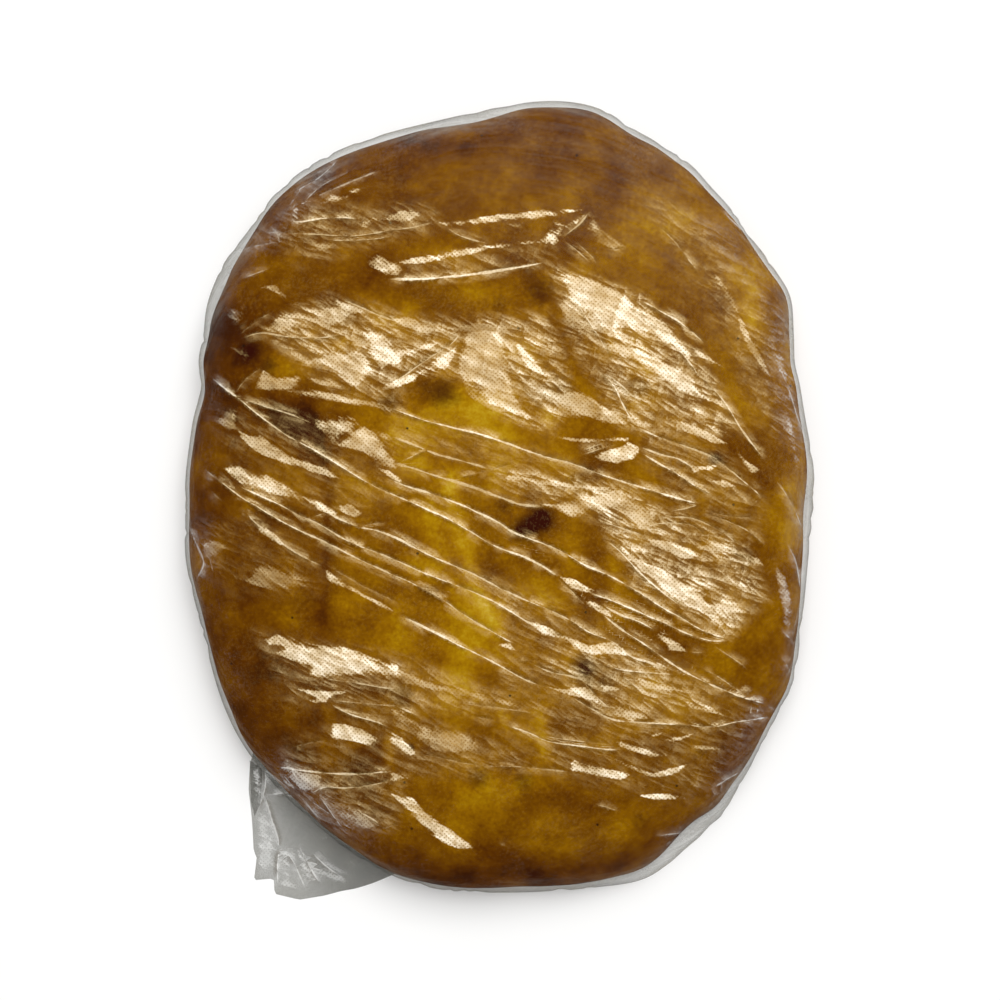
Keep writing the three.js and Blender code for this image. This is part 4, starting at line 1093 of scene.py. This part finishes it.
    # painted shade: a crease is drawn dark on the side that its fold turns from the light
    shade = add("ShaderNodeMath", times, stored["creaseShine"], sureSide)
    for ends in ("shadeReach", "shadeEdge"):
        shade = add("ShaderNodeMath", times, shade, add("ShaderNodeMapRange", {}, litSide, *look[ends]))
    tint = add("ShaderNodeMix", colours, shade, tint, linearColour(look["foldShadeTint"]))
    warmth = add("ShaderNodeMix", colours, sheen, linearColour(look["faintSheen"]),
                 linearColour(look["fullSheen"]))
    sheenColour = add("ShaderNodeMix", colours, stored["rim"], warmth, linearColour(look["slackSheen"]))
    clear = add("ShaderNodeBsdfTransparent", {}, tint)
    paintedSheen = add("ShaderNodeBsdfDiffuse", {}, sheenColour)
    lustre = add("ShaderNodeMixShader", {}, sheen, clear, paintedSheen)
    # streaks that follow the rim for a few centimetres each
    wander = add("ShaderNodeTexNoise", Vector=coords, Scale=perMetre(look["wanderMm"]), Detail=1.0)
    ringAt = add("ShaderNodeMath", timesPlus, wander, look["wanderBy"], stored["ring"])
    level = add("ShaderNodeVectorMath", times, coords, (1, 1, 0))
    outward = add("ShaderNodeVectorMath", {"operation": "NORMALIZE"}, level)
    rimPlane = add("ShaderNodeVectorMath", timesPlus, outward, look["streakTurns"],
                   add("ShaderNodeCombineXYZ", Z=ringAt))
    streaks = add("ShaderNodeTexNoise", Vector=rimPlane, Scale=look["streakScale"], Detail=3.0)
    # grazing views mirror the room, on the wrinkles over the top and in the streaks along the rim
    facing = add("ShaderNodeLayerWeight", Blend=0.5).outputs["Facing"]
    grazing = add("ShaderNodeMath", {"operation": "POWER"}, facing, look["grazing"])
    mirrored = add("ShaderNodeMix", {}, stored["rim"], *[
        add("ShaderNodeMapRange", {}, pattern, *look[ends])
        for pattern, ends in ((fineSlope, "topGloss"), (streaks, "rimGloss"))
    ])
    gloss = add("ShaderNodeMath", timesClamped, grazing, mirrored)
    bump = add("ShaderNodeBump", Height=fineSlope, Strength=look["bump"], Distance=look["bumpMm"] * mm)
    mirror = add("ShaderNodeBsdfGlossy", Color=linearColour(look["mirrorTint"]), Roughness=look["roughness"],
                 Normal=bump)
    film = add("ShaderNodeMixShader", {}, gloss, lustre, mirror)
    haze = stored["haze"]
    for pattern, ends in ((streaks, "streakTone"), (uneven, "hazeTone")):
        haze = add("ShaderNodeMath", timesClamped, haze, add("ShaderNodeMapRange", {}, pattern, *look[ends]))
    milky = add("ShaderNodeBsdfDiffuse", {}, linearColour(look["milk"]))
    add("ShaderNodeOutputMaterial", Surface=add("ShaderNodeMixShader", {}, haze, film, milky))
    return material


def makeFilm():
    look = filmLook
    bm = unitShell(look["columns"], look["rows"], look["gridTurn"], look["innerShare"],
                   shellRings(bagForm, look["domeShares"], look["wallSteps"], look["baseShares"]))
    for layer, sheet in enumerate(looseCorner):
        addSheet(bm, sheet, layer)
    mesh = meshFrom(bm, "bag_film")
    coords = meshCoords(mesh)
    reach = np.hypot(coords[:, 0], coords[:, 1])
    onLoaf = reach < 2  # the shell is still one unit wide, the sheets are in mm
    angle = np.arctan2(coords[:, 1], coords[:, 0])
    share = np.where(onLoaf, reach, 1.0)
    level = np.where(onLoaf, coords[:, 2], 0.0)
    onTop = onLoaf & (level > topLevel)
    under = onLoaf & (level < baseLevel)
    pleat = sidePleat(angle)
    slack = (look["looseMm"] - pleat) * ease(look["looseFrom"], 1.0, share)
    radius = share * outlineRadius(angle, bagForm) + np.where(under, 0, slack)
    x = np.where(onLoaf, radius * np.cos(angle), coords[:, 0])
    y = np.where(onLoaf, radius * np.sin(angle), coords[:, 1])
    relief, folds = filmFolds(x, y)
    top = bagHeight(x, y) + relief * (1 - share**rimFade)
    z = np.where(onLoaf, np.where(onTop, top, wallHeight(angle, level, bagForm)), coords[:, 2])
    placeMesh(mesh, x, y, z)
    # the sides and the hidden underside keep a plain pleated painted sheen, which fades in below the widest line
    pleatSheen = look["wallFacet"] + look["pleatFacet"] * pleat
    pleated = -1 + (1 + pleatSheen) * ease(0.0, look["wallFade"], -level)
    plain = np.where(under, look["underFacet"], pleated)
    drawn = onTop | ~onLoaf
    storeValues(mesh, "facet", np.where(drawn, folds["facet"], plain))
    storeValues(mesh, "facetShine", np.where(drawn, folds["facetShine"], look["wallShine"]))
    for name in ("creaseSide", "creaseWidth"):
        storeValues(mesh, name, folds[name])
    for name in ("creaseShine", "crazed"):
        storeValues(mesh, name, np.where(drawn, folds[name], 0))
    lowerHaze = np.where(onTop, 1, look["lowerHaze"])
    storeValues(mesh, "haze", np.where(onLoaf, hazeAt(angle, share) * lowerHaze, look["cornerHaze"]))
    # grey of the rim, the wall and the underside: layered film, and painted shade
    rimGreyAndShade = look["rimGreyAndShade"] * ease(*look["rimGreyAndShadeReach"], share)
    greyAndShade = np.where(onTop, rimGreyAndShade, np.where(under, look["underGreyAndShade"], look["wallGreyAndShade"]))
    # the loose corner is palest at its tip: fewest layers lie together there, and its grey, partly painted shade,
    # fades away from the loaf
    (tipX, tipY), = fromPhoto([cornerLook["paleFrom"]], cornerLook["clear"])
    pale = ease(*cornerLook["paleReach"], (tipX - x) + cornerLook["paleTurn"] * (tipY - y))
    storeValues(mesh, "slack", np.where(onLoaf, greyAndShade, 1.0 - cornerLook["paler"] * pale))
    storeValues(mesh, "ring", np.where(onLoaf, radius, 0.0))
    storeValues(mesh, "rim", np.where(onTop, ease(*look["rimReach"], share), 1.0))
    piece = addPiece("bag_film", mesh, filmMaterial())
    piece.visible_shadow = piece.visible_diffuse = False  # the film casts no shadow and takes no diffuse light; the grey of its slack parts paints that shade instead
    print("film:", len(mesh.polygons), "faces")


# studio: a pale room, a floor of white paper and a soft key light from the far end, in metres
studioLook = {
    "key": {"size": (1.6, 1.6), "place": (0.25, 0.8, 1.8), "power": 34, "colour": "#ffffff"},
    "floor": {"halfSize": 3.0, "colour": "#f4f4f3", "roughness": 0.9},
    "room": {"colour": "#ffffff", "strength": 0.56},
    "clipStart": 0.01,
}


def makeFloor():
    # uncoated paper: matt and a little off white, so that the shadow shows
    look = studioLook["floor"]
    bm = bmesh.new()
    bmesh.ops.create_grid(bm, x_segments=2, y_segments=2, size=look["halfSize"])
    mesh = meshFrom(bm, "floor")
    floor = bpy.data.objects.new("floor", mesh)
    bpy.context.collection.objects.link(floor)
    material = bpy.data.materials.new("whitePaperSweep")
    material.use_nodes = True
    surface = material.node_tree.nodes["Principled BSDF"]
    surface.inputs["Base Color"].default_value = linearColour(look["colour"])
    surface.inputs["Roughness"].default_value = look["roughness"]
    mesh.materials.append(material)


def addKeyLight():
    look = studioLook["key"]
    lamp = bpy.data.lights.new("key", "AREA")
    lamp.shape = "RECTANGLE"
    lamp.size, lamp.size_y = look["size"]
    lamp.energy = look["power"]
    lamp.color = linearColour(look["colour"])[:3]
    light = bpy.data.objects.new("key", lamp)
    bpy.context.collection.objects.link(light)
    light.location = look["place"]
    light.rotation_euler = Vector(look["place"]).to_track_quat("Z", "Y").to_euler()
    light.visible_camera = False


def makeStudio():
    makeFloor()
    addKeyLight()
    room = studioLook["room"]
    world = bpy.data.worlds.new("paleRoom")
    world.use_nodes = True
    background = world.node_tree.nodes["Background"]
    background.inputs["Color"].default_value = linearColour(room["colour"])
    background.inputs["Strength"].default_value = room["strength"]
    bpy.context.scene.world = world
    lens = bpy.data.cameras.new("overheadCamera")
    lens.sensor_width = photo["sensorMm"]
    lens.lens = photo["sensorMm"] * (photo["cameraMm"] - photo["rimMm"]) / photo["frameMm"]
    lens.clip_start = studioLook["clipStart"]
    camera = bpy.data.objects.new("overheadCamera", lens)
    bpy.context.collection.objects.link(camera)
    middleX, middleY = photo["loafMiddleMm"]
    camera.location = (middleX * mm, middleY * mm, photo["cameraMm"] * mm)
    bpy.context.scene.camera = camera
    bpy.context.scene.view_settings.view_transform = "Standard"
    print("studio ready")


makeBread()
makeFilm()
makeStudio()
